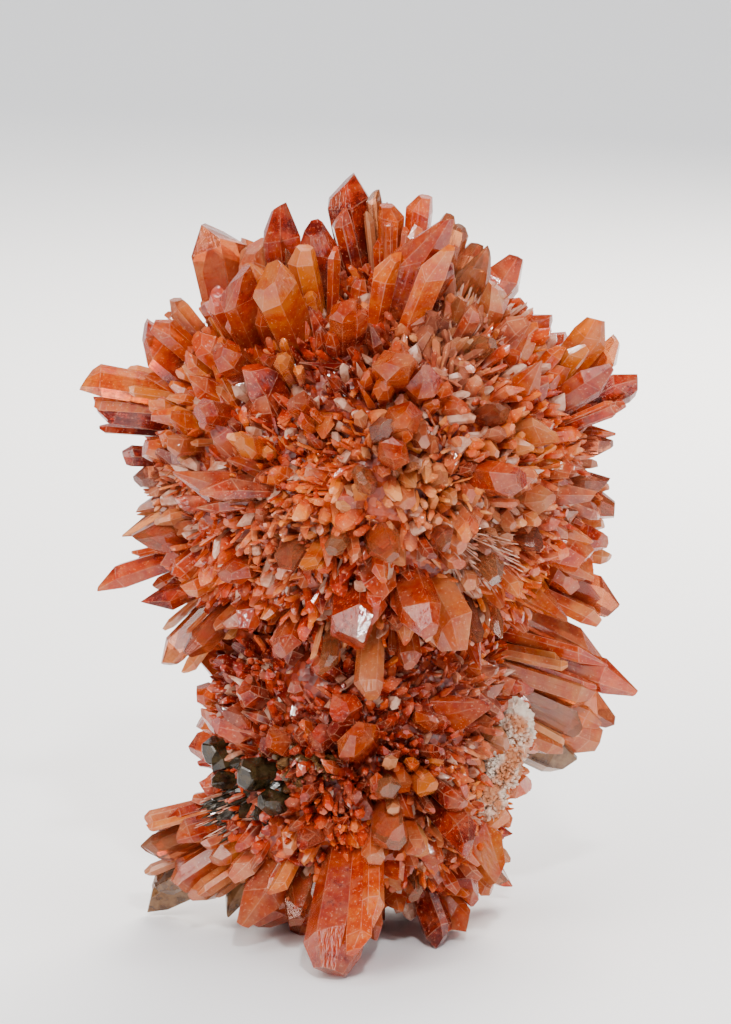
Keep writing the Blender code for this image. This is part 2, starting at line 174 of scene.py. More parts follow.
# %% [markdown]
# ## One crystal, as a formula
#
# Each crystal is a flattened six-sided prism that widens from its root. Its shoulder corners sit at different
# heights, and six slanted faces run from there towards an apex that a small facet cuts off. The apex stands
# well off the middle, because creedite ends in a lopsided roof and not in a regular point. Sliding a corner
# along its own edge keeps both faces beside it flat, as real crystal faces are.
#
# A modeller could make one and copy it. Working the corners out for all crystals together lets every one
# differ.

# %% The crystal formula
SIDES = 6
# Thickness and tip length as shares of the width, top facet as a share of the section, root as a share of the
# widest section.
FORMS = {
    "blade": (0.60, 0.62, 0.42, 0.78),
    "prism": (0.80, 0.55, 0.48, 0.84),
    "stub": (0.85, 0.42, 0.58, 0.90),
    "point": (0.60, 1.20, 0.14, 0.74),
    "spindle": (0.80, 1.15, 0.10, 0.18),
    "needle": (0.85, 1.60, 0.15, 0.60),
}
FORM_NAMES = list(FORMS)
FORM_TABLE = np.array([FORMS[name] for name in FORM_NAMES])
# How many random draws give a crystal its shape: six for its corners, the rest for its apex and its top
# facet.
DRAWS = 11
SHOULDER_JITTER = 0.35
APEX_DRIFT = 0.42
FACET_TILT = 0.75
SIDE_JITTER = 0.26


def unit(vectors):
    return vectors / np.linalg.norm(vectors, axis=-1, keepdims=True)


def crystal_frames(root, tip, turn):
    """Three directions for each crystal: across its width, through its thickness and along its axis.

    Across is square to both the axis and the sight line, and is then turned about the axis.
    """
    axis = unit(tip - root)
    across = np.cross(axis, EYE_BACK)
    across[np.linalg.norm(across, axis=1) < 1e-6] = [1.0, 0.0, 0.0]
    across = unit(across)
    through = np.cross(axis, across)
    cos, sin = np.cos(turn)[:, None], np.sin(turn)[:, None]
    return across * cos + through * sin, through * cos - across * sin, axis


def crystal_corners(length, width, form, draws, sides):
    """Corners of the crystals in their own directions, as an array of crystals by three rings by 3.

    The corners of a ring lie on an ellipse of the crystal's width and thickness, at equal angles that each
    stray by up to SIDE_JITTER, so that no two sides are alike. The root ring is at height 0. A shoulder corner
    is on the straight edge from its root corner, at its own height. A top corner is where the line from the
    shoulder corner to the apex meets the facet plane through the crystal's end.
    """
    thickness, tip_share, facet, root_share = FORM_TABLE[form].T
    tip = np.minimum(width * tip_share, length * 0.5)
    shoulder = length - tip
    angle = np.arange(sides) * 2 * np.pi / sides + (draws[:, sides - 1 :: -1] - 0.5) * 2 * SIDE_JITTER
    ring = np.stack([np.cos(angle), np.sin(angle)], axis=2)
    half = np.stack([width / 2, width * thickness / 2], axis=1)
    height = shoulder[:, None] - (draws[:, :sides] - 0.5) * 2 * SHOULDER_JITTER * tip[:, None]
    spread = root_share[:, None] + (1 - root_share[:, None]) * height / shoulder[:, None]
    corners = np.zeros((len(length), 3, sides, 3))
    corners[:, 0, :, :2] = ring * half[:, None, :] * root_share[:, None, None]
    corners[:, 1, :, :2] = ring * half[:, None, :] * spread[:, :, None]
    corners[:, 1, :, 2] = height
    apex = np.zeros((len(length), 1, 3))
    apex[:, 0, :2] = (draws[:, 6:8] - 0.5) * 4 * APEX_DRIFT * half
    apex[:, 0, 2] = shoulder + tip / (1 - facet)
    tilt = -(draws[:, 8:10] - 0.5) * 2 * FACET_TILT
    normal = np.concatenate([tilt, np.ones((len(length), 1))], axis=1)[:, None]
    end = np.zeros((len(length), 1, 3))
    end[:, 0, 2] = length
    low = corners[:, 1]
    share = ((end - low) * normal).sum(-1) / ((apex - low) * normal).sum(-1)
    corners[:, 2] = low + (apex - low) * np.clip(share, 0.03, 0.97)[:, :, None]
    return corners.reshape(len(length), 3 * sides, 3)


def crystal_faces(count, sides):
    """Corner numbers of the faces: the upright and the slanted faces as quads, and the two ends."""
    k = np.arange(sides)
    after = (k + 1) % sides
    upright = np.stack([k, after, after + sides, k + sides], 1)
    quads = np.concatenate([upright, upright + sides])
    ends = np.stack([k[::-1], k + 2 * sides])
    first = (np.arange(count) * 3 * sides)[:, None, None]
    return (quads + first).reshape(-1, 4), (ends + first).reshape(-1, sides)


print("faces of one crystal:", [faces.shape for faces in crystal_faces(1, SIDES)])

# %% [markdown]
# ## From arrays to a mesh
#
# A batch is a set of crystals: roots, tips, widths, forms, turns, colours and random draws, one row for each.
# The finish has to know where it is on a crystal, so each corner carries how far along it is, the crystal's
# own colour numbers, and its place in the crystal's own directions, for lines that run along the faces.

# %% Batches and meshes
def batch_of(root, tip, width, form, turn, tone, pale, draws):
    return dict(root=root, tip=tip, width=width, form=form, turn=turn, tone=tone, pale=pale, draws=draws)


def form_numbers(names):
    return np.array([FORM_NAMES.index(name) for name in names])


def drawn_forms(names, draws):
    """One of the named forms for each draw between 0 and 1."""
    return form_numbers(names)[(draws * len(names)).astype(int)]


def between(limits, share):
    """The value that lies that share of the way from the lower limit to the upper one."""
    return limits[0] + (limits[1] - limits[0]) * share


def clear_of(way, others, degrees):
    """Which directions keep more than that angle from every one of the others."""
    return (way @ others.T).max(axis=1) < math.cos(math.radians(degrees))


def pick(batch, chosen):
    return {name: values[chosen] for name, values in batch.items()}


def joined(batches):
    return {name: np.concatenate([batch[name] for batch in batches]) for name in batches[0]}


def mesh_of(name, corners, face_groups):
    """A flat-shaded mesh from corners in mm and arrays of faces with equally many corners each."""
    mesh = bpy.data.meshes.new(name)
    mesh.vertices.add(len(corners))
    mesh.vertices.foreach_set("co", (corners * MM).astype(np.float32).ravel())
    loops = np.concatenate([faces.ravel() for faces in face_groups])
    sizes = np.concatenate([np.full(len(faces), faces.shape[1]) for faces in face_groups])
    mesh.loops.add(len(loops))
    mesh.loops.foreach_set("vertex_index", loops.astype(np.int32))
    mesh.polygons.add(len(sizes))
    mesh.polygons.foreach_set("loop_start", (np.cumsum(sizes) - sizes).astype(np.int32))
    mesh.update(calc_edges=True)
    mesh.shade_flat()
    return mesh


def add_number(mesh, name, values, domain="POINT"):
    made = mesh.attributes.new(name, "FLOAT", domain)
    made.data.foreach_set("value", values.astype(np.float32).ravel())


def add_vector(mesh, name, values, domain="POINT"):
    made = mesh.attributes.new(name, "FLOAT_VECTOR", domain)
    made.data.foreach_set("vector", values.astype(np.float32).ravel())


def add_side_distances(mesh, corners):
    """For each face corner, how far its face's left, right, lower and upper sides are, in mm.

    Between the corners Blender blends them evenly, so a finish can tell how near to an edge it is. The two
    ends of a crystal have no such sides and get a large number.
    """
    across = np.linalg.norm(np.roll(corners, -1, axis=2) - corners, axis=3)
    up = np.linalg.norm(corners[:, 1:] - corners[:, :-1], axis=3)
    low, high, left, right = across[:, :2], across[:, 1:], up, np.roll(up, -1, axis=2)
    none, far = np.zeros_like(low), 9.0
    to_left = np.stack([none, low, high, none], -1).ravel()
    to_right = np.stack([low, none, none, high], -1).ravel()
    to_low = np.stack([none, none, right, left], -1).ravel()
    to_high = np.stack([left, right, none, none], -1).ravel()
    ends = len(mesh.loops) - len(to_left)
    sides = np.concatenate([np.stack([to_left, to_right, to_low], 1), np.full((ends, 3), far)])
    add_vector(mesh, "sides", sides, "CORNER")
    add_number(mesh, "top_side", np.concatenate([to_high, np.full(ends, far)]), "CORNER")


def finished(name, mesh, material):
    """An object with that mesh and material, riding with the specimen."""
    thing = bpy.data.objects.new(name, mesh)
    bpy.context.scene.collection.objects.link(thing)
    mesh.materials.append(material)
    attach(thing, "root")
    return thing


def crystals(name, batch, material, shrink=1.0, sides=SIDES):
    """A piece with all crystals of a batch. A shrink under 1 makes the inner body of each, around its middle.

    What would reach below the surface that the specimen stands on is flattened there.
    """
    length = np.linalg.norm(batch["tip"] - batch["root"], axis=1)
    own = crystal_corners(length, batch["width"], batch["form"], batch["draws"], sides)
    across, through, axis = crystal_frames(batch["root"], batch["tip"], batch["turn"])
    turned = np.stack([across, through, axis], axis=1)
    shrunk = own * [shrink, shrink, 0.5 + 0.5 * shrink]
    corners = batch["root"][:, None] + np.einsum("nki,nij->nkj", shrunk, turned)
    corners[..., 2] = np.maximum(corners[..., 2], 0.0)
    mesh = mesh_of(name, corners.reshape(-1, 3), crystal_faces(len(length), sides))
    each = np.ones((1, 3 * sides))
    add_number(mesh, "along", own[:, :, 2] / length[:, None])
    add_number(mesh, "tone", batch["tone"][:, None] * each)
    add_number(mesh, "pale", batch["pale"][:, None] * each)
    add_vector(mesh, "grain", own + batch["draws"][:, None, -1:] * [61.0, 43.0, 89.0])
    add_side_distances(mesh, corners.reshape(len(length), 3, sides, 3))
    add_number(mesh, "polish", np.random.default_rng(len(length)).random(len(mesh.polygons)), "FACE")
    piece = finished(name, mesh, material)
    print(name, "has", len(length), "crystals and", len(mesh.polygons), "faces")
    return piece


# %% [markdown]
# ## Finishes
#
# Creedite's colour is not even. Growth left it zoned: deep orange or red inside, with paler, clearer layers,
# cloudy veils, and fine lines along the faces where growth stopped and started. A flat orange glass would
# look like plastic. The shared effects, the painted edge highlights, the zoned colour with its painted
# sparkle, and the growth lines, are groups of nodes that each finish uses with its own numbers. Clearness,
# refraction and absorption stay plain values on the shader.

# %% Node helpers
def new_group(name, inputs, outputs):
    """A node group with named sockets; inputs maps a name to its socket kind and default."""
    group = bpy.data.node_groups.new(name, "ShaderNodeTree")
    for label, (kind, default) in inputs.items():
        socket = group.interface.new_socket(label, in_out="INPUT", socket_type=kind)
        if default is not None:
            socket.default_value = default
    for label, kind in outputs.items():
        group.interface.new_socket(label, in_out="OUTPUT", socket_type=kind)
    return group, group.nodes.new("NodeGroupInput"), group.nodes.new("NodeGroupOutput")


def wire(tree, source, target):
    tree.links.new(source, target)


def noise(tree, vector, scale, detail=2.0, roughness=0.5):
    made = settings(tree.nodes.new("ShaderNodeTexNoise"), Scale=scale, Detail=detail, Roughness=roughness)
    wire(tree, vector, made.inputs["Vector"])
    return made.outputs["Fac"]


def stretched(tree, vector, scale):
    made = settings(tree.nodes.new("ShaderNodeMapping"), Scale=scale)
    wire(tree, vector, made.inputs["Vector"])
    return made.outputs["Vector"]


def maths(tree, operation, first, second=None, clamp=False):
    made = tree.nodes.new("ShaderNodeMath")
    made.operation = operation
    made.use_clamp = clamp
    for socket, value in zip(made.inputs, (first, second)):
        if isinstance(value, (int, float)):
            socket.default_value = value
        elif value is not None:
            wire(tree, value, socket)
    return made.outputs[0]


def ranged(tree, value, low, high, to_low=0.0, to_high=1.0):
    made = tree.nodes.new("ShaderNodeMapRange")
    made.interpolation_type = "SMOOTHSTEP"
    settings(made, From_Min=low, From_Max=high, To_Min=to_low, To_Max=to_high)
    wire(tree, value, made.inputs["Value"])
    return made.outputs["Result"]


def ramp(tree, value, stops):
    """A colour ramp; stops are (place, colour) from low to high."""
    made = tree.nodes.new("ShaderNodeValToRGB")
    bar = made.color_ramp.elements
    while len(bar) < len(stops):
        bar.new(0.5)
    for element, (place, colour) in zip(bar, stops):
        element.position = place
        element.color = (*colour, 1)
    wire(tree, value, made.inputs["Fac"])
    return made.outputs["Color"]


def blend(tree, share, low, high):
    made = tree.nodes.new("ShaderNodeMix")
    made.data_type = "RGBA"
    made.clamp_factor = True
    wire(tree, share, made.inputs["Factor"])
    colours = [socket for socket in made.inputs if socket.type == "RGBA"]
    for socket, value in zip(colours, (low, high)):
        if isinstance(value, tuple):
            socket.default_value = (*value, 1)
        else:
            wire(tree, value, socket)
    return [socket for socket in made.outputs if socket.type == "RGBA"][0]


def attribute(tree, name, output="Fac"):
    made = tree.nodes.new("ShaderNodeAttribute")
    made.attribute_name = name
    return made.outputs[output]


def use_group(tree, group, **sources):
    """A node that uses a shared group, with those of its inputs wired."""
    made = tree.nodes.new("ShaderNodeGroup")
    made.node_tree = group
    for name, source in sources.items():
        wire(tree, source, made.inputs[name])
    return made.outputs


def bumped(tree, surface, height, strength, distance):
    """The shader's normal, tilted by that height; the distance is in metres."""
    bump = settings(tree.nodes.new("ShaderNodeBump"), Strength=strength, Distance=distance)
    wire(tree, height, bump.inputs["Height"])
    wire(tree, bump.outputs["Normal"], surface.inputs["Normal"])


# %% Painted edge highlights
# How far a painted highlight along each edge reaches into the face, in mm, and how much of its pale colour it
# takes.
EDGE_HIGHLIGHT_REACH = 0.10
EDGE_HIGHLIGHT_SHARE = 0.34
edges, edges_in, edges_out = new_group(
    "painted edge highlights",
    {
        "Sides": ("NodeSocketVector", None),
        "Top": ("NodeSocketFloat", 9.0),
        "Grain": ("NodeSocketVector", None),
    },
    {"Edge highlight": "NodeSocketFloat"},
)
# The edge line is painted light: near each face's sides the base colour turns pale, standing in for a
# highlight, and noise breaks it up.
parted = edges.nodes.new("ShaderNodeSeparateXYZ")
wire(edges, edges_in.outputs["Sides"], parted.inputs[0])
nearest = maths(edges, "MINIMUM", parted.outputs[0], parted.outputs[1])
low_or_top = maths(edges, "MINIMUM", parted.outputs[2], edges_in.outputs["Top"])
nearest = maths(edges, "MINIMUM", nearest, low_or_top)
broken = ranged(edges, noise(edges, edges_in.outputs["Grain"], 1.1, 2.0, 0.6), 0.35, 0.6, 0.25, 1.0)
line = maths(edges, "MULTIPLY", ranged(edges, nearest, 0.0, EDGE_HIGHLIGHT_REACH, 1.0, 0.0), broken)
wire(edges, line, edges_out.inputs["Edge highlight"])
print("bright edge nodes:", len(edges.nodes))

# %% Zoned colour, with painted sparkle and painted edge highlights
zoned, zoned_in, zoned_out = new_group(
    "creedite zoning with painted highlights",
    {
        "Tone": ("NodeSocketFloat", 0.4),
        "Paleness": ("NodeSocketFloat", 0.2),
        "Along": ("NodeSocketFloat", 0.5),
        "Edge highlight": ("NodeSocketFloat", 0.0),
        "Grain": ("NodeSocketVector", None),
    },
    {"Color": "NodeSocketColor"},
)
cloud = noise(zoned, zoned_in.outputs["Grain"], 0.45, 3.0, 0.6)
bands = noise(zoned, stretched(zoned, zoned_in.outputs["Grain"], (0.12, 0.12, 0.55)), 1.0, 1.0)
deep_root = ranged(zoned, zoned_in.outputs["Along"], 0.35, 0.85, -0.16, 0.06)
banded = maths(zoned, "ADD", ranged(zoned, bands, 0.3, 0.7, -0.20, 0.20), deep_root)
flaws = ranged(zoned, noise(zoned, zoned_in.outputs["Grain"], 1.7, 4.0, 0.75), 0.3, 0.7, -0.16, 0.16)
toned = maths(zoned, "ADD", zoned_in.outputs["Tone"], maths(zoned, "ADD", banded, flaws), clamp=True)
body_colour = ramp(
    zoned,
    toned,
    [
        (0.0, (0.13, 0.004, 0.001)),
        (0.3, (0.38, 0.019, 0.001)),
        (0.65, (0.52, 0.054, 0.001)),
        (1.0, (0.64, 0.140, 0.004)),
    ],
)
pale_colour = ramp(zoned, toned, [(0.0, (0.42, 0.125, 0.068)), (1.0, (0.60, 0.235, 0.080))])
veil = ranged(zoned, cloud, 0.40, 0.66, -0.18, 0.30)
thin_end = ranged(zoned, zoned_in.outputs["Along"], 0.80, 1.0, 0.0, 0.14)
paleness = maths(zoned, "ADD", maths(zoned, "ADD", zoned_in.outputs["Paleness"], veil), thin_end, clamp=True)
grown_colour = blend(zoned, paleness, body_colour, pale_colour)
# Painted sparkle and painted edge highlights: pale spots from a fine noise, and the pale edge lines, turn the
# base colour towards a pale orange that stands in for glints.
painted_sparkle = ranged(zoned, noise(zoned, zoned_in.outputs["Grain"], 3.4, 2.0, 0.7), 0.60, 0.72, 0.0, 0.38)
bright = maths(zoned, "MAXIMUM", painted_sparkle, maths(zoned, "MULTIPLY", zoned_in.outputs["Edge highlight"], EDGE_HIGHLIGHT_SHARE))
wire(zoned, blend(zoned, bright, grown_colour, (0.84, 0.48, 0.28)), zoned_out.inputs["Color"])
print("zoning nodes:", len(zoned.nodes))

# %% Growth lines
lines, lines_in, lines_out = new_group(
    "growth lines",
    {"Grain": ("NodeSocketVector", None)},
    {"Height": "NodeSocketFloat", "Haze": "NodeSocketFloat"},
)
length_lines = noise(lines, stretched(lines, lines_in.outputs["Grain"], (3.2, 3.2, 0.12)), 1.0, 2.0, 0.6)
steps = noise(lines, stretched(lines, lines_in.outputs["Grain"], (0.5, 0.5, 2.2)), 1.0, 1.0)
ridges = maths(lines, "ADD", length_lines, maths(lines, "MULTIPLY", steps, 0.45))
wire(lines, ridges, lines_out.inputs["Height"])
haze = noise(lines, lines_in.outputs["Grain"], 1.4, 4.0, 0.7)
wire(lines, haze, lines_out.inputs["Haze"])
print("growth line nodes:", len(lines.nodes))


# %% The crystal finishes
def crystal_material(name, clearness, absorbed, density, rough, relief=0.00005, painted_edge_highlights=True):
    """Creedite with that share of clear glass in it. Absorbed is the colour that a thick piece turns.

    Most faces are slightly frosted. About one in three is polished and mirrors the light. The smallest
    crystals go without painted edge highlights, which would cover them.
    """
    material, tree, surface = new_material(name)
    grain = attribute(tree, "grain", "Vector")
    known = {"Grain": grain}
    if painted_edge_highlights:
        sides, top = attribute(tree, "sides", "Vector"), attribute(tree, "top_side")
        known["Edge highlight"] = use_group(tree, edges, Sides=sides, Top=top, Grain=grain)["Edge highlight"]
    for label, name in (("Tone", "tone"), ("Paleness", "pale"), ("Along", "along")):
        known[label] = attribute(tree, name)
    wire(tree, use_group(tree, zoned, **known)["Color"], surface.inputs["Base Color"])
    marks = use_group(tree, lines, Grain=grain)
    bumped(tree, surface, marks["Height"], 0.9, relief)
    frosted = ranged(tree, attribute(tree, "polish"), 0.30, 0.40, 0.0, rough)
    hazy = ranged(tree, marks["Haze"], 0.4, 0.75, 0.03, 0.15)
    wire(tree, maths(tree, "ADD", frosted, hazy), surface.inputs["Roughness"])
    settings(surface, Transmission_Weight=clearness, IOR=1.46, Specular_IOR_Level=0.5)
    if density:
        inside = tree.nodes.new("ShaderNodeVolumeAbsorption")
        settings(inside, Color=(*absorbed, 1), Density=density)
        wire(tree, inside.outputs["Volume"], tree.nodes["Material Output"].inputs["Volume"])
    return material


orange_glass = crystal_material("orange creedite", 0.50, (1.0, 0.35, 0.08), 150.0, 0.10)
clear_glass = crystal_material("clear creedite", 0.80, (1.0, 0.66, 0.42), 130.0, 0.05, 0.00002)
pale_glass = crystal_material("pale creedite", 0.42, None, 0, 0.08, 0.00002)
blocky_glass = crystal_material("blocky creedite", 0.28, None, 0, 0.10)
druse_glass = crystal_material("druse", 0.0, None, 0, 0.12, 0.00005, False)
heart_finish = crystal_material("cloudy heart", 0.0, None, 0, 0.35, 0.00005, False)


def grown_over_material(name, clearness, low, high, rough):
    """A finish for the dark mineral beside the creedite, for pale needles, and for small facets whose pale
    colour is a painted glint.

    Its colour drifts between low and high in soft clouds.
    """
    material, tree, surface = new_material(name)
    grain = attribute(tree, "grain", "Vector")
    tint = ranged(tree, noise(tree, grain, 0.7, 3.0, 0.6), 0.35, 0.65)
    wire(tree, blend(tree, tint, low, high), surface.inputs["Base Color"])
    marks = use_group(tree, lines, Grain=grain)
    bumped(tree, surface, marks["Height"], 0.7, 0.00004)
    wire(tree, ranged(tree, marks["Haze"], 0.4, 0.75, rough, rough + 0.2), surface.inputs["Roughness"])
    settings(surface, Transmission_Weight=clearness, IOR=1.52)
    return material


dark_finish = grown_over_material(
    "dark olive crystal", 0.0, (0.007, 0.004, 0.002), (0.035, 0.022, 0.008), 0.10
)
smoky_finish = grown_over_material("smoky crystal", 0.35, (0.10, 0.034, 0.007), (0.27, 0.135, 0.055), 0.04)
# Pale pinkish peach: the needles' own colour, and on the small bright facets a painted glint that stands in
# for reflected light.
needle_and_glint_finish = grown_over_material("pale needles and painted glints", 0.15, (0.40, 0.13, 0.065), (0.66, 0.38, 0.27), 0.02)
print("finishes:", [material.name for material in bpy.data.materials])

# %% [markdown]
# ## The crystals that the eye picks out
#
# These are placed one by one: tip and root as (across, up, depth), the width in mm, the form, a turn about
# the crystal's own axis in degrees, and a look. The list is long because the likeness is in it.

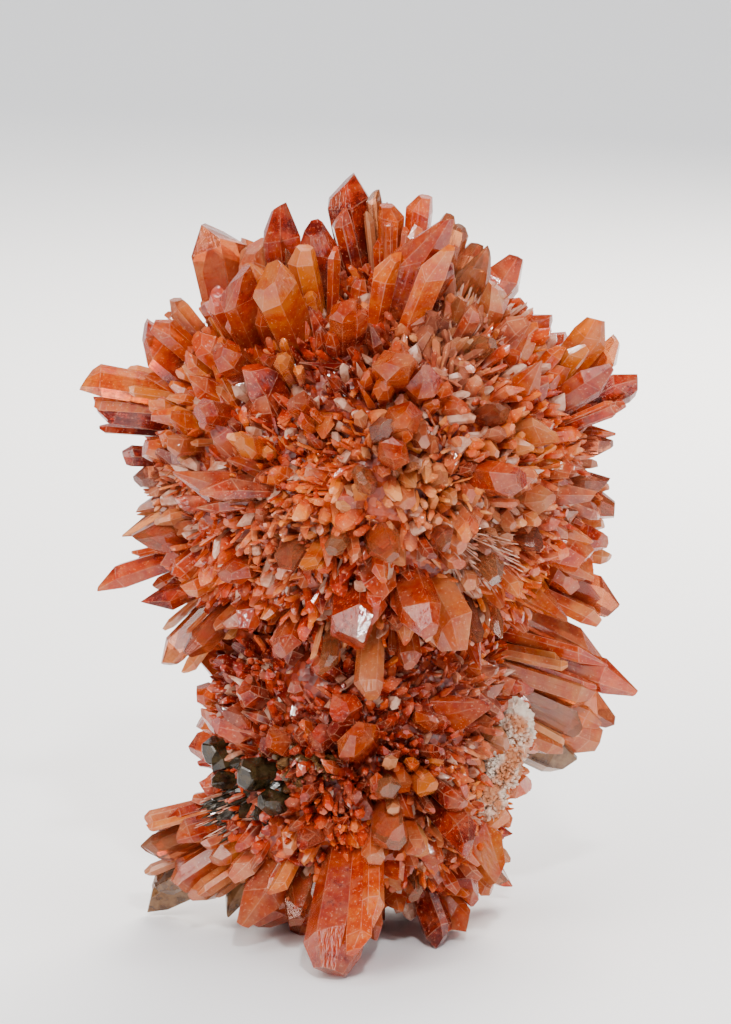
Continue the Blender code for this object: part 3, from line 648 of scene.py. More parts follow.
# %% Big crystals
# Each look gives a tone, from deep red to amber, and a paleness.
LOOKS = {
    "red": (0.16, 0.00),
    "orange": (0.42, 0.05),
    "amber": (0.82, 0.06),
    "peach": (0.60, 0.45),
    # This look is partly the crystals' own pale pink and partly a painted reflection: it stands in for the
    # pale pink sheen that soft lights lay on their facets.
    "pink": (0.15, 0.70),
    "rose": (0.34, 0.28),
    "clear": (0.55, 0.95),
    "cored": (0.55, 0.50),
    "smoky": (0.75, 0.40),
    "dark": (0.30, 0.00),
}
BIG_CRYSTALS = [
    ((-15.1, 68.4, 0), (-12.6, 56.5, -2), 6.4, "stub", 30, "cored"),
    ((-11.8, 67.2, 1), (-10, 58, 0), 3.2, "prism", 30, "peach"),
    ((-13.2, 63.2, -15.5), (-9.6, 54.5, -8.5), 4.6, "stub", 25, "orange"),
    ((-9.6, 63.6, -18), (-5.4, 54.2, -10), 5, "stub", 40, "amber"),
    ((-6.2, 65.9, -10), (-5, 56.5, -7.5), 4.4, "point", 20, "pink"),
    ((-8.6, 70.5, -6), (-7.6, 59, -5.5), 4.4, "blade", 35, "red"),
    ((-4.7, 68.4, -11), (-4.2, 56.5, -8.5), 4.2, "prism", 10, "red"),
    ((-2, 73, -3), (0, 62, -3), 4.6, "stub", 25, "red"),
    ((6, 68.8, -14), (1.4, 54, -10.5), 5.6, "blade", 8, "orange"),
    ((7.6, 65.4, -14.5), (3.6, 58, -10), 3.8, "prism", 30, "red"),
    ((5.6, 71.6, -4), (4.6, 62, -4), 2.8, "prism", 15, "orange"),
    ((8.4, 69.8, -3), (6.8, 62, -3), 2.2, "prism", 40, "clear"),
    ((9.6, 68.6, -6), (7.4, 61, -5), 2, "prism", 10, "clear"),
    ((0.8, 72, -4), (1.4, 63, -4), 1.7, "prism", 20, "clear"),
    ((2.6, 70.6, -6), (2.4, 62, -5), 2.6, "stub", 0, "orange"),
    ((-2, 61, -21.5), (-1.9, 54, -11.5), 3.4, "prism", 20, "orange"),
    ((3, 55.4, -24), (2.8, 51, -13), 4.4, "prism", 15, "orange"),
    ((6.2, 53.4, -22.5), (4.4, 50, -12.5), 3.8, "prism", 35, "orange"),
    ((-27.8, 53.4, -5), (-17.5, 51.6, -4), 3.2, "stub", 10, "amber"),
    ((-26.9, 50.4, -3), (-17.5, 48.8, -2.5), 3, "prism", 35, "red"),
    ((-22.2, 57.4, -6), (-14.5, 50.8, -4.5), 4, "stub", 15, "orange"),
    ((-19.4, 61.3, -4), (-13.5, 54.2, -3), 2.4, "prism", 40, "peach"),
    ((-21, 59.2, -9), (-14, 53, -6), 2.6, "blade", 10, "orange"),
    ((-24.2, 45.6, -4), (-17, 45.2, -3), 2.3, "stub", 20, "red"),
    ((-23.2, 43.4, -8), (-16, 44, -6), 2.6, "prism", 35, "pink"),
    ((-24.2, 37.8, -4), (-16, 41, -3), 2.3, "point", 15, "clear"),
    ((-22.2, 36.8, -10), (-13.5, 40.2, -7), 3.8, "prism", 25, "cored"),
    ((-26.2, 33, -4), (-15.5, 36.6, -3.5), 2.7, "blade", 30, "orange"),
    ((-21.8, 30.5, -6), (-14, 34, -4.5), 2.6, "point", 5, "red"),
    ((-20.3, 24.9, -5), (-13.6, 32.2, -4), 3.1, "blade", 20, "cored"),
    ((-17.7, 25.8, -10.5), (-10.5, 33, -6.5), 2.8, "prism", 10, "cored"),
    ((-19.2, 42.9, -20), (-9.6, 42.3, -17.5), 4, "spindle", 15, "rose"),
    ((-19.6, 48.8, -13.5), (-11.5, 48.4, -8), 2.9, "blade", 20, "amber"),
    ((-19.8, 46.6, -14.5), (-12, 47, -9), 2.2, "prism", 0, "peach"),
    ((-16.6, 50.2, -19), (-10, 48.8, -9.5), 2.8, "stub", 30, "orange"),
    ((-14.6, 56, -17.5), (-9, 51.5, -9), 3.4, "prism", 10, "orange"),
    ((-8.6, 55.4, -21.5), (-6.4, 51.5, -11), 2.2, "prism", 45, "amber"),
    ((-7.2, 51.2, -25), (-3.2, 47.8, -12.5), 2.7, "blade", 10, "orange"),
    ((-12.4, 46.6, -22.5), (-7.5, 46, -11), 2.6, "stub", 20, "amber"),
    ((3.8, 49.8, -25.5), (3.2, 47, -13), 4.2, "prism", 20, "orange"),
    ((1.6, 48.4, -25.5), (1.6, 46.6, -13), 2.8, "stub", 50, "pink"),
    ((2.8, 45.9, -26.3), (2.4, 45.4, -13), 3.6, "stub", 10, "orange"),
    ((-0.8, 43, -26.2), (1.8, 43.8, -13), 3.2, "blade", 5, "clear"),
    ((-8.2, 34.4, -22.5), (-3.8, 42, -13), 3, "blade", 10, "pink"),
    ((-6, 34.2, -24), (-1.8, 41, -13), 1.9, "prism", 30, "amber"),
    ((-3.2, 36.2, -24.6), (-0.6, 41.2, -13), 2.2, "stub", 25, "clear"),
    ((2.5, 35.3, -26), (-0.6, 42, -13.5), 3.6, "blade", 12, "cored"),
    ((10, 26.2, -22.5), (4, 37.8, -14), 4.8, "blade", 22, "peach"),
    ((-1.3, 27.2, -23.5), (-0.8, 37.5, -12), 5.2, "stub", 35, "red"),
    ((0.2, 21.4, -19.5), (0.8, 31, -14), 2.9, "prism", 15, "peach"),
    ((-3.9, 24, -18.5), (-2.8, 32, -12), 2.2, "prism", 40, "clear"),
    ((-8.2, 25.8, -17), (-5.4, 33, -11), 3, "prism", 20, "orange"),
    ((-12.6, 28.4, -15.5), (-8.6, 35, -9.5), 3, "blade", 15, "orange"),
    ((-13.6, 33.4, -18.5), (-8.4, 38.4, -10), 3, "prism", 30, "orange"),
    ((4.6, 24.6, -18.5), (3.4, 32, -12.5), 2.4, "prism", 10, "orange"),
    ((11.3, 27, -17.5), (8.4, 35.5, -12), 1.8, "blade", 0, "pink"),
    ((11.2, 24.4, -15), (9.6, 33, -11), 1.8, "point", 20, "orange"),
    ((13.4, 27.2, -14.5), (11, 35, -10.5), 1.9, "point", 10, "clear"),
    ((13.4, 33.6, -20.5), (8.6, 38, -11), 3, "stub", 30, "clear"),
    ((8.4, 36.8, -24), (4.6, 40.5, -12.5), 2.6, "blade", 5, "pink"),
    ((12.5, 65.1, -6), (6.6, 57.5, -5.5), 3.8, "blade", 10, "clear"),
    ((11.3, 66.8, -5), (6.8, 59, -4.5), 2.8, "prism", 30, "clear"),
    ((15.7, 61.2, -3), (10.2, 56.6, -3), 2.4, "prism", 20, "orange"),
    ((18.7, 59.5, -3), (11.4, 55.6, -3), 2.7, "blade", 25, "orange"),
    ((18.2, 57.4, -2), (12.4, 54.4, -2), 1.9, "prism", 40, "clear"),
    ((23.8, 59.1, -4), (16, 49.4, -4), 3.7, "blade", 8, "amber"),
    ((25.4, 56.8, -2), (16.8, 48.8, -2.5), 3.1, "prism", 30, "cored"),
    ((24.5, 54.2, -9), (15.8, 48.6, -7), 3.2, "blade", 10, "orange"),
    ((27.2, 53.3, -5), (17, 48, -4), 3.4, "prism", 20, "red"),
    ((25, 48.3, -4), (16.4, 47.2, -3.5), 1.7, "point", 10, "orange"),
    ((24.6, 46.6, -6), (16.2, 46.6, -5), 2.3, "blade", 25, "pink"),
    ((23.3, 43.6, -4), (16, 45.2, -3), 1.6, "point", 30, "orange"),
    ((18.9, 48.3, -17.5), (9.6, 46.6, -11.5), 3, "blade", 5, "peach"),
    ((17.3, 53.3, -14.5), (10.4, 49.2, -9), 3.1, "blade", 20, "orange"),
    ((15.4, 55.8, -12), (9.6, 51.2, -8), 2.3, "prism", 10, "orange"),
    ((14, 50.4, -20), (8.4, 47.8, -11.5), 2.8, "prism", 35, "pink"),
    ((12.6, 57.6, -16), (7.4, 52.6, -9), 2.6, "blade", 10, "clear"),
    ((18.2, 41, -17), (10.6, 43, -10), 3, "prism", 15, "peach"),
    ((17.4, 36.8, -16), (10.6, 40.4, -9.5), 2.6, "stub", 10, "pink"),
    ((24.9, 40.4, -3), (15.8, 42.6, -3), 3.7, "prism", 35, "cored"),
    ((23.6, 42.4, -7), (15.4, 43.6, -5.5), 2.9, "stub", 10, "pink"),
    ((23.7, 36.4, -4), (15, 39.8, -3.5), 3.5, "prism", 20, "orange"),
    ((25.5, 31, -2), (14.6, 34.8, -2.5), 4.2, "prism", 20, "cored"),
    ((27.7, 22.4, 1), (10, 28.1, -1.5), 3.6, "point", 10, "orange"),
    ((23.6, 24.6, 1.5), (12.6, 30.4, -1), 5, "blade", 15, "peach"),
    ((23.8, 19.6, 3), (11.6, 26.2, 0), 4.8, "stub", 30, "cored"),
    ((23, 17, 4), (11, 22, 0.5), 4.4, "stub", 20, "peach"),
    ((20.4, 15, 2), (10.4, 19.4, 0), 4.2, "stub", 0, "smoky"),
    ((-16.9, 22.2, -5), (-9.6, 18.6, -5), 2.6, "stub", 25, "orange"),
    ((-16.1, 19.4, -7), (-9.4, 16.8, -6), 2.3, "prism", 10, "orange"),
    ((-16.3, 16.3, -9), (-9.4, 15.4, -6.5), 3.6, "stub", 30, "dark"),
    ((-12.6, 13.6, -17.5), (-6, 14.5, -9.5), 3.4, "stub", 15, "dark"),
    ((-10.4, 10.6, -17.5), (-5, 12.5, -9.5), 3.2, "prism", 40, "dark"),
    ((-15.4, 13.2, -12), (-9, 13.2, -8), 2, "prism", 10, "dark"),
    ((-21.4, 6.1, -4.5), (-10.6, 10.4, -5.5), 3.4, "stub", 5, "cored"),
    ((-19.6, 9.4, -6.5), (-10.6, 11.8, -6), 2.2, "stub", 35, "orange"),
    ((-21.5, 1.7, -0.6), (-11, 6.2, -4), 4.2, "stub", 20, "smoky"),
    ((-13.7, 0.4, -6.5), (-9.6, 7, -6), 2, "prism", 30, "smoky"),
    ((-19.2, 2.8, -6), (-10, 9, -6), 3.4, "stub", 15, "orange"),
    ((-17, 1.4, -7.6), (-9, 7, -6.5), 3, "stub", 50, "peach"),
    ((-15.4, 5.2, -9.6), (-8, 9, -8), 2.8, "prism", 30, "amber"),
    ((-18.6, 7.8, -8.2), (-9, 10.6, -7), 2.6, "stub", 10, "orange"),
    ((-11.9, -1, -14), (-5.2, 10.4, -9.5), 4.8, "blade", 35, "rose"),
    ((-7.6, -1.1, -16), (-3.6, 9.6, -10), 3.1, "prism", 20, "cored"),
    ((-3.5, -5.9, -24.4), (-1, 10, -11.5), 6.2, "prism", 18, "orange"),
    ((0.7, -2.6, -15.4), (0.6, 6.4, -10), 1.9, "prism", 10, "orange"),
    ((7.7, -3, -12.6), (3.8, 7.6, -9), 3.2, "stub", 30, "red"),
    ((10.8, 1.6, -10.5), (6, 9.4, -8), 3.6, "prism", 15, "orange"),
    ((13.6, 2.9, -7.5), (8, 9.4, -6.5), 2.4, "stub", 40, "clear"),
    ((3, 0.3, -13.5), (2, 7.4, -9.5), 2.6, "stub", 20, "orange"),
    ((5.2, 1.6, -14.6), (3.4, 8.4, -10), 2.4, "stub", 10, "clear"),
    ((-0.6, 2.6, -18.4), (0, 8.6, -11), 2.4, "prism", 15, "peach"),
    ((10.6, 6.7, -20.5), (4.6, 13.6, -11), 3.8, "prism", 25, "red"),
    ((-1.4, 17.9, -22.5), (0.8, 15, -11), 4.8, "blade", 10, "orange"),
    ((2.8, 7, -23), (1.8, 12.4, -11.5), 4.2, "stub", 40, "cored"),
    ((6.4, 12.4, -22), (4.2, 14.2, -11.5), 2.7, "prism", 20, "amber"),
    ((2.2, 12.2, -23), (2, 13.6, -11.5), 2.8, "stub", 0, "clear"),
    ((-6.2, 6.6, -19.5), (-3, 11, -10.5), 2.8, "prism", 10, "red"),
    ((-9.6, 17.4, -17.5), (-4.4, 15.6, -9.5), 3, "prism", 40, "orange"),
    ((6.6, 19.6, -18.5), (3.8, 17.2, -10.5), 2.8, "blade", 10, "orange"),
    ((22.4, 21.4, -1.6), (13, 24.4, -3), 3.4, "stub", 60, "peach"),
    ((21.2, 18.6, -2.4), (12.4, 22.6, -4), 3.2, "stub", 30, "clear"),
    ((19.4, 16.4, -3), (11.4, 19.6, -4), 3.2, "stub", 80, "peach"),
    ((23, 19, 0.4), (14, 22.6, -1), 2.6, "stub", 45, "amber"),
    ((-21.8, 6.2, -5.4), (-18, 7.8, -5.4), 2.6, "stub", 0, "clear"),
    ((-20.8, 2.4, -2), (-13, 6, -4.4), 3, "prism", 60, "smoky"),
    ((-20.2, 3.4, -1), (-13, 7, -4), 2.6, "stub", 20, "smoky"),
    ((-21.4, 2.8, -1.4), (-17, 5.2, -2.6), 2.2, "stub", 40, "clear"),
]
# The crystals under the foot that it stands on: tip (across, depth) and width. Their tips lie below the
# surface, where they are flattened.
STANDS_ON = [((-4.5, -6.5), 9.0), ((9.5, 6.0), 5.0), ((-9.5, 7.0), 5.0), ((0.5, 9.5), 4.4)]
STAND_TIP = 2.5
STAND_TONE, STAND_PALE = 0.3, 0.15
# The two masses: middle (across, up, depth), half sizes in the same order, and how far from ball to barrel.
BALL_HEART, BALL_HALF, BALL_BARREL = (0.5, 45.0, -3.0), (20.2, 19.0, 18.4), 0.0
BALL_GROWTH = (2.5, 43.5, -12.0)
FOOT_HEART, FOOT_HALF, FOOT_BARREL = (-0.3, 17.5, -5.0), (13.6, 15.5, 11.8), 1.0
ROOT_INSIDE = 0.8


def share_of_mass(places):
    """How far out each place lies in the mass that holds it best: 0 is its middle and 1 its surface."""
    shares = []
    for heart, (wide, tall, deep) in ((BALL_HEART, BALL_HALF), (FOOT_HEART, FOOT_HALF)):
        shares.append(np.linalg.norm((places - in_picture(heart)) / [wide, deep, tall], axis=1))
    return np.min(shares, axis=0)


def rooted(root, tip):
    """The roots drawn back along their crystals until a mass holds them, at most one length further.

    A root that no mass holds even then goes back by three tenths of its crystal's length.
    """
    steps = np.linspace(0, 1, 41)
    drawn = root[None] + (root - tip)[None] * steps[:, None, None]
    held = np.array([share_of_mass(places) < ROOT_INSIDE for places in drawn])
    first = np.where(held.any(0), held.argmax(0), 12)
    return drawn[first, np.arange(len(root))]


SHAPE_SEED = 5
seen_tips, seen_roots, widths, forms, turns, looks = zip(*BIG_CRYSTALS)
big_tip = in_picture(seen_tips)
big_look = np.array(looks)
big_tone, big_pale = np.array([LOOKS[look] for look in looks]).T
big = batch_of(
    rooted(in_picture(seen_roots), big_tip), big_tip, np.array(widths), form_numbers(forms), np.radians(turns),
    big_tone, big_pale, np.random.default_rng(SHAPE_SEED).random((len(BIG_CRYSTALS), DRAWS))
)
stand_tip = np.array([[across, depth, -STAND_TIP] for (across, depth), _ in STANDS_ON]) + PICTURE_ZERO
stand_count = len(STANDS_ON)
standing = batch_of(
    in_picture(FOOT_HEART) * 0.7 + stand_tip * 0.3, stand_tip, np.array([width for _, width in STANDS_ON]),
    form_numbers(["stub"] * stand_count), np.zeros(stand_count), np.full(stand_count, STAND_TONE),
    np.full(stand_count, STAND_PALE), np.random.default_rng(SHAPE_SEED + 1).random((stand_count, DRAWS))
)
glassy = np.isin(big_look, ("clear", "pink", "cored"))
dark = big_look == "dark"
smoky = big_look == "smoky"
print(len(BIG_CRYSTALS), "placed crystals,", int(glassy.sum()), "of them clear")


# Companions: how far they stray from their crystal, as a share of its width, how much of that their tips and
# roots take, and how much their tips stand back, in mm.
STRAY = 1.3
STRAY_TIP, STRAY_ROOT = 1.3, 0.6
STAND_BACK = (0.8, 5.0)


def companions(batch, each, seed):
    """Smaller crystals that grew against each one, nearly side by side with it and a little shorter."""
    count = len(batch["tip"]) * each
    made = {name: np.repeat(values, each, axis=0) for name, values in batch.items()}
    draws = np.random.default_rng(seed).random((count, DRAWS))
    astray = (draws[:, :3] - 0.5) * made["width"][:, None] * STRAY
    axis = unit(made["tip"] - made["root"])
    astray -= axis * (astray * axis).sum(1, keepdims=True)
    made["tip"] = made["tip"] + astray * STRAY_TIP - axis * between(STAND_BACK, draws[:, 3:4])
    made["root"] = made["root"] + astray * STRAY_ROOT
    made["width"] = made["width"] * (0.34 + 0.36 * draws[:, 4])
    made["turn"] = made["turn"] + draws[:, 5] * 0.8
    made["tone"] = np.clip(made["tone"] + (draws[:, 6] - 0.5) * 0.4, 0, 1)
    made["pale"] = np.clip(made["pale"] + (draws[:, 7] - 0.6) * 0.4, 0, 1)
    made["draws"] = draws
    return made


def edged(piece, width, tips_only=False):
    """Softened edges: real crystal edges are crisp, but a thin line of light runs along them.

    With tips_only the long edges and the root stay sharp, for pieces with hundreds of crystals.
    """
    bevel = piece.modifiers.new("soft edges", "BEVEL")
    bevel.width = width * MM
    bevel.segments = 1
    if tips_only:
        ends = np.empty(len(piece.data.edges) * 2, np.int32)
        piece.data.edges.foreach_get("vertices", ends)
        ring = ends.reshape(-1, 2) % (3 * SIDES) // SIDES
        add_number(piece.data, "bevel_weight_edge", ring.min(axis=1) > 0, "EDGE")
        bevel.limit_method = "WEIGHT"
    else:
        bevel.limit_method = "ANGLE"
        bevel.angle_limit = math.radians(20)
    return piece


# The crystals that the picture doesn't show one by one: how many places the ball and the foot have, how far
# they stand out, their widths, and how near to a placed crystal or to the other mass they come, in degrees.
FILL_PLACES = (44, 20)
FILL_STAND_OUT = (4.5, 7.5)
FILL_WIDTH = (4.0, 6.4)
FILL_ROOT_SHARE = 0.4
FILL_LEAN = 0.10
FILL_CLEAR = 9
FILL_BARE = 42
FILL_FORMS = ("blade", "prism", "prism", "stub", "blade", "point")
FILL_SEED = 21


def spiral(count):
    """Directions spread evenly over a sphere on a golden spiral."""
    index = np.arange(count) + 0.5
    height = 1 - 2 * index / count
    turn = index * np.pi * (3 - math.sqrt(5))
    level = np.sqrt(1 - height**2)
    return np.stack([level * np.cos(turn), level * np.sin(turn), height], axis=1)


def fill_crystals(heart, half, other_heart, draws):
    """Big crystals around one mass, where the table has none: most of them are on the sides and the back."""
    middle = in_picture(heart)
    way = unit(spiral(len(draws)) + (draws[:, :3] - 0.5) * 2 * FILL_LEAN)
    placed_tip = np.concatenate([big["tip"], standing["tip"]])
    taken = unit(placed_tip[share_of_mass(placed_tip) < 2] - middle)
    towards = unit(in_picture(other_heart) - middle)
    kept = clear_of(way, taken, FILL_CLEAR) & clear_of(way, towards, FILL_BARE)
    surface = way * [half[0], half[2], half[1]]
    out = between(FILL_STAND_OUT, draws[:, 3:4] ** 2)
    width = between(FILL_WIDTH, draws[:, 4] ** 1.5)
    form = drawn_forms(FILL_FORMS, draws[:, 5])
    own = np.random.default_rng(len(draws)).random((len(draws), 13))
    made = batch_of(middle + surface * FILL_ROOT_SHARE, middle + surface + way * out, width, form,
                    draws[:, 6] * np.pi, 0.25 + 0.45 * own[:, 11], 0.45 * own[:, 12] ** 2, own[:, :11])
    return pick(made, kept)


# The foot's lower rim: how many crystals, at which turns in degrees, how far out and how high their tips and
# roots are, and their widths.
RIM_COUNT = 17
RIM_TURNS = (-35, 205)
RIM_TIP_OUT, RIM_TIP_UP = (8.5, 13.0), (0.6, 5.6)
RIM_ROOT_OUT, RIM_ROOT_UP = (2.0, 5.0), (8.0, 12.0)
RIM_WIDTH = (3.2, 5.2)


def rim_crystals(seed):
    """Crystals around the back and the sides of the foot's lower rim, pointing outward and down."""
    draws = np.random.default_rng(seed).random((RIM_COUNT, 20))
    turn = np.radians(np.linspace(*RIM_TURNS, RIM_COUNT)) + (draws[:, 11] - 0.5) * 0.2
    ring = np.stack([np.cos(turn), np.sin(turn)], 1)
    middle = in_picture(FOOT_HEART)[0]
    tip_place = middle[:2] + ring * between(RIM_TIP_OUT, draws[:, 12:13])
    tip = np.column_stack([tip_place, between(RIM_TIP_UP, draws[:, 13] ** 1.5)])
    root_place = middle[:2] + ring * between(RIM_ROOT_OUT, draws[:, 14:15])
    root = np.column_stack([root_place, between(RIM_ROOT_UP, draws[:, 15])])
    form = drawn_forms(("blade", "prism", "stub", "prism"), draws[:, 17])
    width, tone = between(RIM_WIDTH, draws[:, 16]), 0.2 + 0.4 * draws[:, 19]
    return batch_of(
        root, tip, width, form, draws[:, 18] * np.pi, tone, 0.4 * draws[:, 10] ** 2, draws[:, :DRAWS]
    )


fill_draws = np.random.default_rng(FILL_SEED)
fill = joined(
    [
        fill_crystals(BALL_HEART, BALL_HALF, FOOT_HEART, fill_draws.random((FILL_PLACES[0], 7))),
        fill_crystals(FOOT_HEART, FOOT_HALF, BALL_HEART, fill_draws.random((FILL_PLACES[1], 7))),
        rim_crystals(31),
    ]
)
edged(crystals("orange_crystals", pick(big, ~glassy & ~dark & ~smoky), orange_glass), 0.14)
edged(crystals("fill_crystals", fill, orange_glass), 0.14)
edged(crystals("standing_crystals", standing, orange_glass), 0.12)
edged(crystals("clear_crystals", pick(big, glassy), clear_glass), 0.12)
beside = companions(joined([pick(big, ~dark & ~smoky), fill, standing]), 3, 41)
edged(crystals("companion_crystals", beside, blocky_glass), 0.07, True)
core = pick(big, big_look == "cored")
core["pale"] = core["pale"] * 0.0
crystals("crystal_cores", core, heart_finish, shrink=0.7)
edged(crystals("dark_crystals", pick(big, dark), dark_finish), 0.12)
edged(crystals("smoky_crystals", pick(big, smoky), smoky_finish), 0.12)

# %% [markdown]
# ## The mass that they grow from
#
# Between the crystals the eye meets a rough, sugary ground. It is one closed surface: a ball and a barrel,
# each a grid of turn and height, swollen and dented by a sum of waves.

# %% Ground
def wave_sum(places, seed, count=14, low=0.15, high=0.9):
    """A sum of plane waves with random ways, lengths and starts: smooth bumps between about -1 and 1."""
    random = np.random.default_rng(seed)
    ways = unit(random.normal(size=(count, 3))) * random.uniform(low, high, (count, 1))
    return np.sin(places @ ways.T + random.random(count) * 2 * np.pi).sum(-1) / math.sqrt(count)


def mass_surface(heart, half, barrel, shrink, around=220, up=150):
    """A ball stretched to its half sizes: turn runs round it, and height from bottom to top in equal angles.

    Its sides are widened by the root of one plus barrel times height squared, and every point is pushed out
    along its own direction by two sums of waves.
    """
    turn = np.arange(around) / around * 2 * np.pi
    rise = (np.arange(up) + 0.5) / up * np.pi - np.pi / 2
    turn, rise = np.meshgrid(turn, rise)
    way = np.stack([np.cos(rise) * np.cos(turn), np.cos(rise) * np.sin(turn), np.sin(rise)], -1).reshape(-1, 3)
    wider = np.sqrt(1 + barrel * way[:, 2:] ** 2)
    wide, tall, deep = half
    places = way * np.concatenate([wider, wider, np.ones_like(wider)], 1) * [wide, deep, tall] * shrink
    swell = 0.55 * wave_sum(places, 3) + 0.22 * wave_sum(places, 4, 20, 1.2, 3.0)
    places = places + way * swell[:, None]
    grid = np.arange(around * up).reshape(up, around)
    ahead = np.roll(grid, -1, axis=1)
    quads = np.stack([grid[:-1], ahead[:-1], ahead[1:], grid[1:]], -1).reshape(-1, 4)
    return places + in_picture(heart), quads, np.stack([grid[0][::-1], grid[-1]])


def ground_material():
    """Sugary druse: small cells, each with its own tone, and a fine bump between them."""
    material, tree, surface = new_material("druse ground")
    where = tree.nodes.new("ShaderNodeTexCoord").outputs["Object"]
    cells = settings(tree.nodes.new("ShaderNodeTexVoronoi"), Scale=1500.0)
    wire(tree, where, cells.inputs["Vector"])
    patches = noise(tree, where, 160.0, 3.0, 0.6)
    each = tree.nodes.new("ShaderNodeSeparateColor")
    wire(tree, cells.outputs["Color"], each.inputs["Color"])
    cell_tone = maths(tree, "MULTIPLY", each.outputs[0], 0.35)
    tone = maths(tree, "ADD", cell_tone, maths(tree, "MULTIPLY", patches, 0.8))
    stops = [
        (0.25, (0.035, 0.003, 0.001)),
        (0.5, (0.15, 0.010, 0.002)),
        (0.72, (0.34, 0.042, 0.006)),
        (1.0, (0.48, 0.17, 0.07)),
    ]
    wire(tree, ramp(tree, tone, stops), surface.inputs["Base Color"])
    bumped(tree, surface, cells.outputs["Distance"], 0.9, 0.00012)
    wire(tree, ranged(tree, each.outputs[1], 0.0, 1.0, 0.12, 0.5), surface.inputs["Roughness"])
    return material


# The ground lies a little inside its mass.
GROUND_SHRINK = 0.96


def ground(name, heart, half, barrel, material):
    """The ground of one mass, a little smaller than the mass itself."""
    points, quads, ends = mass_surface(heart, half, barrel, GROUND_SHRINK)
    return finished(name, mesh_of(name, points, (quads, ends)), material)


druse_ground = ground_material()
ball_ground = ground("ball_ground", BALL_HEART, BALL_HALF, BALL_BARREL, druse_ground)
foot_ground = ground("foot_ground", FOOT_HEART, FOOT_HALF, FOOT_BARREL, druse_ground)
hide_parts(CLUSTER)
print("ground faces:", len(ball_ground.data.polygons) + len(foot_ground.data.polygons))

# %% [markdown]
# ## The thousands between
#
# Smaller crystals fill the space between the big ones, in three grades. Their places are on a golden spiral,
# which covers a ball evenly without rows. Near neighbours lean alike, which makes the small sprays seen all
# over the specimen. Paler and darker patches are listed as soft spots.

# %% Patches and spreading
# Soft spots: middle (across, up, depth), reach in mm and strength.
PALE_PATCHES = [
    ((10.5, 64.0, -9.0), 5.5, 0.95),
    ((9.0, 56.5, -16.0), 6.5, 0.90),
    ((12.5, 50.0, -17.0), 5.0, 0.55),
    ((5.0, 43.0, -22.0), 6.5, 0.70),
    ((13.0, 39.0, -17.0), 7.0, 0.85),
    ((-8.0, 37.0, -19.0), 5.0, 0.65),
    ((-15.0, 45.0, -16.0), 4.0, 0.55),
    ((-21.5, 41.5, -8.0), 5.0, 0.80),
    ((22.5, 43.5, -6.0), 5.5, 0.60),
    ((-2.0, 47.5, -22.0), 4.5, 0.20),
    ((13.5, 15.5, -11.0), 5.0, 0.80),
    ((7.5, 9.0, -15.0), 4.5, 0.55),
    ((10.5, 22.0, -12.0), 4.0, 0.60),
    ((6.0, 60.0, 12.0), 9.0, 0.60),
    ((-12.0, 44.0, 14.0), 8.0, 0.55),
    ((8.0, 26.0, 10.0), 8.0, 0.55),
]
RED_PATCHES = [
    ((-6.5, 54.0, -17.0), 4.2, 1.0),
    ((-1.5, 27.0, -20.0), 5.0, 0.8),
    ((-14.0, 12.0, -10.0), 5.0, 0.8),
    ((-4.0, 22.0, -15.0), 9.0, 0.9),
    ((5.0, 23.0, -14.0), 6.0, 0.9),
    ((-11.0, 23.0, -8.0), 6.0, 0.8),
    ((-3.0, 11.0, -17.0), 7.0, 0.4),
    ((-10.0, 52.0, -17.0), 7.0, 0.4),
    ((9.5, 8.0, -17.0), 4.0, 0.7),
    ((-8.0, 3.0, -13.0), 5.0, 0.5),
]
GAPS = [((-6.5, 54.0, -17.0), 3.6, 1.0), ((-3.0, 22.5, -14.0), 4.6, 1.0), ((6.0, 23.5, -14.0), 3.6, 1.0)]


def near(places, patches):
    """The strongest patch at each place: its strength times a bell curve of the distance over its reach."""
    middles = in_picture([patch[0] for patch in patches])
    reach = np.array([patch[1] for patch in patches])
    strength = np.array([patch[2] for patch in patches])
    away = np.linalg.norm(places[:, None] - middles[None], axis=2)
    return (strength * np.exp(-((away / reach) ** 2))).max(axis=1)


# How high above the surface tips stay, in mm, how short a crystal may be cut for that, as a share of its
# length, how much of a mass the other one hides, in degrees, and how far from its middle placed tips count,
# in mm.
LOWEST_TIP = 0.5
SHORTEST_SHARE = 0.4
HIDDEN_CONE = 30
PLACED_REACH = 34
# Their tone: the middle one, how much goes with the stand-out, with soft waves over the specimen and with
# chance, and how far a red patch pulls it down.
MIDDLE_TONE = 0.22
OUT_TONE, WAVE_TONE, CHANCE_TONE = 0.3, 0.16, 0.5
RED_PULL = 0.6


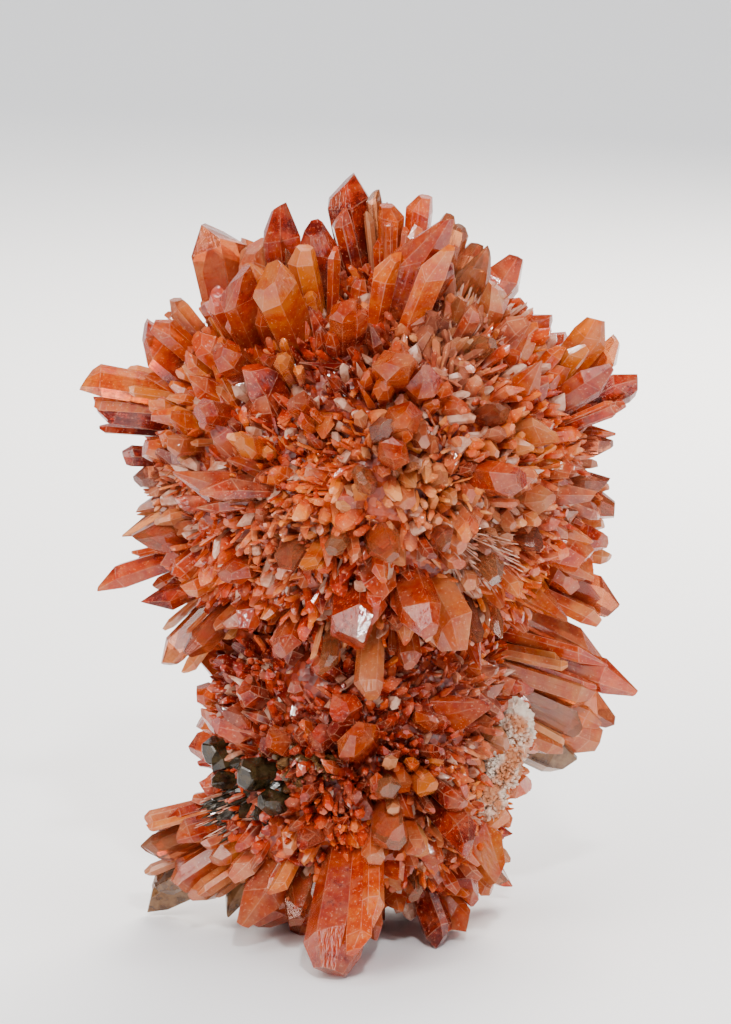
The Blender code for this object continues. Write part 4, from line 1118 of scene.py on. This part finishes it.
def spread_over(mass, places, stand_out, width, forms, seed, root_share, lean, keep_off=0.0):
    """A batch over one mass. Each crystal points away from where growth began, and leans with a wave field.

    keep_off leaves out crystals whose direction comes that near, in degrees, to a placed crystal's.
    """
    heart, (wide, tall, deep), barrel, growth_centre = mass
    random = np.random.default_rng(seed)
    draws = random.random((places, 18))
    way = unit(spiral(places) + (draws[:, :3] - 0.5) * 2.2 / math.sqrt(places))
    wider = np.sqrt(1 + barrel * way[:, 2] ** 2)
    surface = way * np.stack([wide * wider, deep * wider, np.full(places, tall)], 1)
    field = np.stack([wave_sum(surface, seed + shift, 8, 0.25, 0.8) for shift in (11, 12, 13)], 1)
    off_centre = in_picture(growth_centre) - in_picture(heart) if growth_centre else 0.0
    growth = unit(unit(surface - off_centre) + lean * 0.5 * field + (draws[:, 3:6] - 0.5) * lean)
    out = between(stand_out, draws[:, 6] ** 1.6)
    middle = in_picture(heart)
    foot_of_it = middle + surface * root_share
    length = np.linalg.norm(surface * (1 - root_share), axis=1) + out
    room = (foot_of_it[:, 2] - LOWEST_TIP) / np.maximum(-growth[:, 2], 1e-6)
    other = FOOT_HEART if heart == BALL_HEART else BALL_HEART
    kept = clear_of(way, unit(in_picture(other) - middle), HIDDEN_CONE) & (room > SHORTEST_SHARE * length)
    length = np.minimum(length, np.maximum(room, 0.01))
    tip = foot_of_it + growth * length[:, None]
    if keep_off:
        big_way = unit(big["tip"][np.linalg.norm(big["tip"] - middle, axis=1) < PLACED_REACH] - middle)
        kept &= clear_of(unit(tip - middle), big_way, keep_off) & (near(tip, GAPS) < 0.45)
    size = between(width, draws[:, 7] ** 1.8)
    form = drawn_forms(forms, draws[:, 8])
    pale = np.clip(near(tip, PALE_PATCHES) * (0.5 + 0.7 * draws[:, 9]) + 0.25 * draws[:, 10] ** 4, 0, 1)
    tone = MIDDLE_TONE + OUT_TONE * draws[:, 6] + WAVE_TONE * wave_sum(tip, 77, 10, 0.1, 0.4)
    tone = tone + (draws[:, 11] - 0.5) * CHANCE_TONE
    tone = np.clip(tone - RED_PULL * near(tip, RED_PATCHES), 0, 1)
    batch = batch_of(foot_of_it, tip, size, form, draws[:, 12] * np.pi, tone, pale, draws[:, 7:18])
    return pick(batch, kept)


BALL = (BALL_HEART, BALL_HALF, BALL_BARREL, BALL_GROWTH)
FOOT = (FOOT_HEART, FOOT_HALF, FOOT_BARREL, None)
BLOCKY = ("prism", "stub", "blade", "prism", "blade", "point")
medium = joined(
    [
        spread_over(BALL, 680, (0.8, 4.6), (1.8, 4.8), BLOCKY, 101, 0.75, 0.85, 5.0),
        spread_over(FOOT, 440, (0.6, 3.6), (1.7, 4.2), BLOCKY, 102, 0.75, 0.9, 6.0),
    ]
)
is_clear = medium["pale"] > 0.5
edged(crystals("medium_orange", pick(medium, ~is_clear), blocky_glass), 0.07, True)
edged(crystals("medium_clear", pick(medium, is_clear), pale_glass), 0.07, True)
jumble = joined(
    [
        spread_over(BALL, 1000, (0.8, 3.9), (1.6, 4.4), BLOCKY, 107, 0.80, 1.7),
        spread_over(FOOT, 420, (0.8, 3.0), (1.8, 4.0), BLOCKY, 110, 0.80, 1.7),
    ]
)
in_pale_patch = near(jumble["tip"], PALE_PATCHES) > 0.42
one_in_four = jumble["draws"][:, 10] < 0.25
edged(crystals("pale_jumble", pick(jumble, in_pale_patch), pale_glass), 0.07, True)
edged(crystals("orange_jumble", pick(jumble, ~in_pale_patch & one_in_four), blocky_glass), 0.07, True)

# %% Small and fine crystals
SHARP = ("blade", "prism", "point", "stub")
small_ball = spread_over(BALL, 3200, (0.3, 3.2), (0.7, 2.2), SHARP, 103, 0.9, 1.5)
small_foot = spread_over(FOOT, 1900, (0.3, 2.6), (0.7, 2.1), SHARP, 104, 0.88, 1.5)
crystals("small_crystals", joined([small_ball, small_foot]), druse_glass)
ball_grains = spread_over(BALL, 9500, (0.2, 2.5), (0.35, 1.0), SHARP, 105, 0.93, 1.8)
crystals("ball_druse", ball_grains, druse_glass, sides=4)
foot_grains = spread_over(FOOT, 5600, (0.2, 2.1), (0.35, 1.0), SHARP, 106, 0.91, 1.8)
crystals("foot_druse", foot_grains, druse_glass, sides=4)
# Small crystals in the pale pinkish finish, spread all over as painted glints.
glints = joined(
    [
        spread_over(BALL, 760, (0.6, 2.6), (1.0, 2.4), ("blade", "point", "stub"), 108, 0.95, 2.2),
        spread_over(FOOT, 400, (0.5, 2.2), (0.9, 2.1), ("blade", "point", "stub"), 109, 0.94, 2.2),
    ]
)
crystals("painted_glint_facets", glints, needle_and_glint_finish)

# %% [markdown]
# ## Fans, tufts and the chalky crust
#
# On the right of the ball fine needles lie side by side along the surface and fan out from one spot. On the
# left of the foot, dark and silvery needles grow beside black crystals of another mineral. A white, chalky
# crust fills the corner between ball and foot on the right. A needle that lies along the surface is laid from
# one spot of it to the next, which no modelling by hand could do a thousand times.

# %% Spots on the surface
def on_surface(spots, share=1.0):
    """Where the sight lines through spots (across, up) first enter a mass that is swollen to that share."""
    spots = np.atleast_2d(np.asarray(spots, float))
    depths = np.linspace(-32, 12, 177)
    tried = np.concatenate([np.repeat(spots, len(depths), 0), np.tile(depths, len(spots))[:, None]], 1)
    places = in_picture(tried)
    inside = (share_of_mass(places) < share).reshape(len(spots), -1)
    first = np.where(inside.any(1), inside.argmax(1), len(depths) // 2)
    return places.reshape(len(spots), len(depths), 3)[np.arange(len(spots)), first]


def outward(places):
    """Directions away from the middle of whichever mass holds each place best."""
    away, shares = [], []
    for heart, (wide, tall, deep) in ((BALL_HEART, BALL_HALF), (FOOT_HEART, FOOT_HALF)):
        away.append(places - in_picture(heart))
        shares.append(np.linalg.norm(away[-1] / [wide, deep, tall], axis=1))
    return unit(np.array(away)[np.argmin(shares, axis=0), np.arange(len(places))])


# %% Needle fans
# Each fan: middle (across, up), angles in degrees from the right, radii, needle lengths and widths, count,
# tone and paleness.
FANS = [
    ((6.5, 39.0), (-65, -10), (0.5, 6.0), (2.0, 4.4), (0.12, 0.32), 90, 0.15, 0.70),
    ((9.0, 55.0), (20, 100), (0.5, 5.5), (1.6, 3.6), (0.15, 0.5), 90, 0.30, 0.80),
]


def fan(row, seed):
    """Needles along the surface. Each starts at a spot at some angle and radius, and ends further out."""
    middle, angles, radii, lengths, widths, count, tone, pale = row
    random = np.random.default_rng(seed)
    draws = random.random((count, 17))
    angle = np.radians(between(angles, draws[:, 11]))
    radius = between(radii, draws[:, 12] ** 0.8)
    length = between(lengths, draws[:, 13] ** 1.5)
    start = middle + radius[:, None] * np.stack([np.cos(angle), np.sin(angle)], 1)
    bent = angle + (draws[:, 14] - 0.5) * 0.5
    end = start + length[:, None] * np.stack([np.cos(bent), np.sin(bent)], 1)
    root, tip = on_surface(start, 0.98), on_surface(end, 1.02)
    tip = tip + outward(tip) * (0.3 + 1.4 * draws[:, 15:16])
    width = between(widths, draws[:, 16] ** 2)
    form = np.full(count, FORM_NAMES.index("needle"))
    tones = np.clip(tone + (draws[:, 0] - 0.5) * 0.4, 0, 1)
    pales = np.clip(pale + (draws[:, 1] - 0.5) * 0.4, 0, 1)
    made = batch_of(root, tip, width, form, draws[:, 2] * np.pi, tones, pales, draws[:, :DRAWS])
    return pick(made, np.linalg.norm(tip - root, axis=1) < 1.6 * lengths[1])


crystals("needle_fans", joined([fan(row, 201 + number) for number, row in enumerate(FANS)]), needle_and_glint_finish)

# %% Tufts
# Each tuft: spot (across, up), reach, lean (across, depth, up), spread, lengths, widths, form, count.
DARK_TUFTS = [
    ((-9.8, 11.2), 2.8, (-0.4, 0.0, 0.0), 0.5, (0.8, 2.2), (1.4, 3.0), "stub", 30),
    ((-12.6, 14.8), 1.6, (-0.5, 0.0, 0.1), 0.4, (0.8, 1.8), (1.2, 2.4), "prism", 10),
    ((-12.0, 10.6), 2.2, (-0.9, 0.0, -0.2), 0.25, (2.0, 3.4), (0.2, 0.5), "needle", 90),
]
SMOKY_TUFTS = [
    ((-7.2, 15.2), 2.4, (0.0, 0.0, 0.2), 0.7, (0.8, 2.0), (0.5, 1.3), "stub", 46),
    ((-4.8, 14.4), 1.8, (0.2, 0.0, 0.0), 0.7, (0.8, 1.8), (0.5, 1.2), "prism", 26),
]
CLEAR_TUFTS = [
    ((-12.0, 10.4), 2.4, (-0.9, 0.0, -0.2), 0.22, (2.4, 4.0), (0.10, 0.20), "needle", 34),
    ((3.2, 3.4), 2.8, (0.1, 0.0, -0.4), 0.6, (1.2, 2.8), (0.8, 2.0), "stub", 34),
]


def tuft(row, seed):
    """Crystals whose roots lie around one spot. They point outward with one lean, each a little astray."""
    spot, reach, lean, spread, lengths, widths, form, count = row
    draws = np.random.default_rng(seed).random((count, 18))
    around = draws[:, 11] * 2 * np.pi
    radius = reach * np.sqrt(draws[:, 12])
    root = on_surface(spot + radius[:, None] * np.stack([np.cos(around), np.sin(around)], 1), 0.97)
    way = unit(outward(root) + np.array(lean) + (draws[:, 13:16] - 0.5) * 2 * spread)
    length = between(lengths, draws[:, 16])
    width = between(widths, draws[:, 17] ** 1.5)
    tip = root + way * length[:, None]
    forms = np.full(count, FORM_NAMES.index(form))
    made = batch_of(
        root - way, tip, width, forms, draws[:, 0] * np.pi, draws[:, 1], draws[:, 2], draws[:, :DRAWS]
    )
    return pick(made, tip[:, 2] > 0.3)


for name, rows, seed, finish in (
    ("dark_tufts", DARK_TUFTS, 301, dark_finish),
    ("smoky_tufts", SMOKY_TUFTS, 311, smoky_finish),
    ("clear_tufts", CLEAR_TUFTS, 321, needle_and_glint_finish),
):
    crystals(name, joined([tuft(row, seed + number) for number, row in enumerate(rows)]), finish)

# %% Chalky crust
# The crust's lumps: middle (across, up, depth) and half sizes.
CRUST = [
    ((14.8, 18.2, -7.6), (1.9, 3.0, 2.6)),
    ((13.4, 14.6, -8.8), (2.0, 2.4, 2.6)),
    ((12.0, 11.4, -9.4), (2.0, 2.2, 2.6)),
]


def chalk_material():
    """Dull white crumbs, stained peach in places, with a fine crumbly bump."""
    material, tree, surface = new_material("chalky crust")
    where = tree.nodes.new("ShaderNodeTexCoord").outputs["Object"]
    height = tree.nodes.new("ShaderNodeSeparateXYZ")
    wire(tree, where, height.inputs[0])
    lower = ranged(tree, height.outputs[2], 0.010, 0.018, 0.7, 0.0)
    spots = ranged(tree, noise(tree, where, 420.0, 3.0, 0.6), 0.40, 0.62)
    stain = maths(tree, "ADD", spots, lower, clamp=True)
    wire(tree, blend(tree, stain, (0.64, 0.53, 0.43), (0.46, 0.17, 0.07)), surface.inputs["Base Color"])
    bumped(tree, surface, noise(tree, where, 4000.0, 3.0, 0.7), 0.8, 0.00008)
    wire(tree, ranged(tree, stain, 0.0, 1.0, 0.85, 0.55), surface.inputs["Roughness"])
    return material


def stacked(surfaces):
    """One surface from several (points, quads, ends), with the corner numbers moved up."""
    points, quads, ends, first = [], [], [], 0
    for own_points, own_quads, own_ends in surfaces:
        points.append(own_points)
        quads.append(own_quads + first)
        ends.append(own_ends + first)
        first += len(own_points)
    return np.concatenate(points), (np.concatenate(quads), np.concatenate(ends))


chalk = chalk_material()
lump_points, lump_faces = stacked([mass_surface(middle, half, 0.0, 0.92, 90, 60) for middle, half in CRUST])
finished("chalky_crust", mesh_of("chalky_crust", lump_points, lump_faces), chalk)
CRUMBLY = ("stub", "prism")
crumbs = [
    spread_over((middle, half, 0.0, None), 520, (0.0, 0.5), (0.3, 0.9), CRUMBLY, 401 + number, 0.9, 1.4)
    for number, (middle, half) in enumerate(CRUST)
]
crystals("crust_crumbs", joined(crumbs), chalk, sides=4)
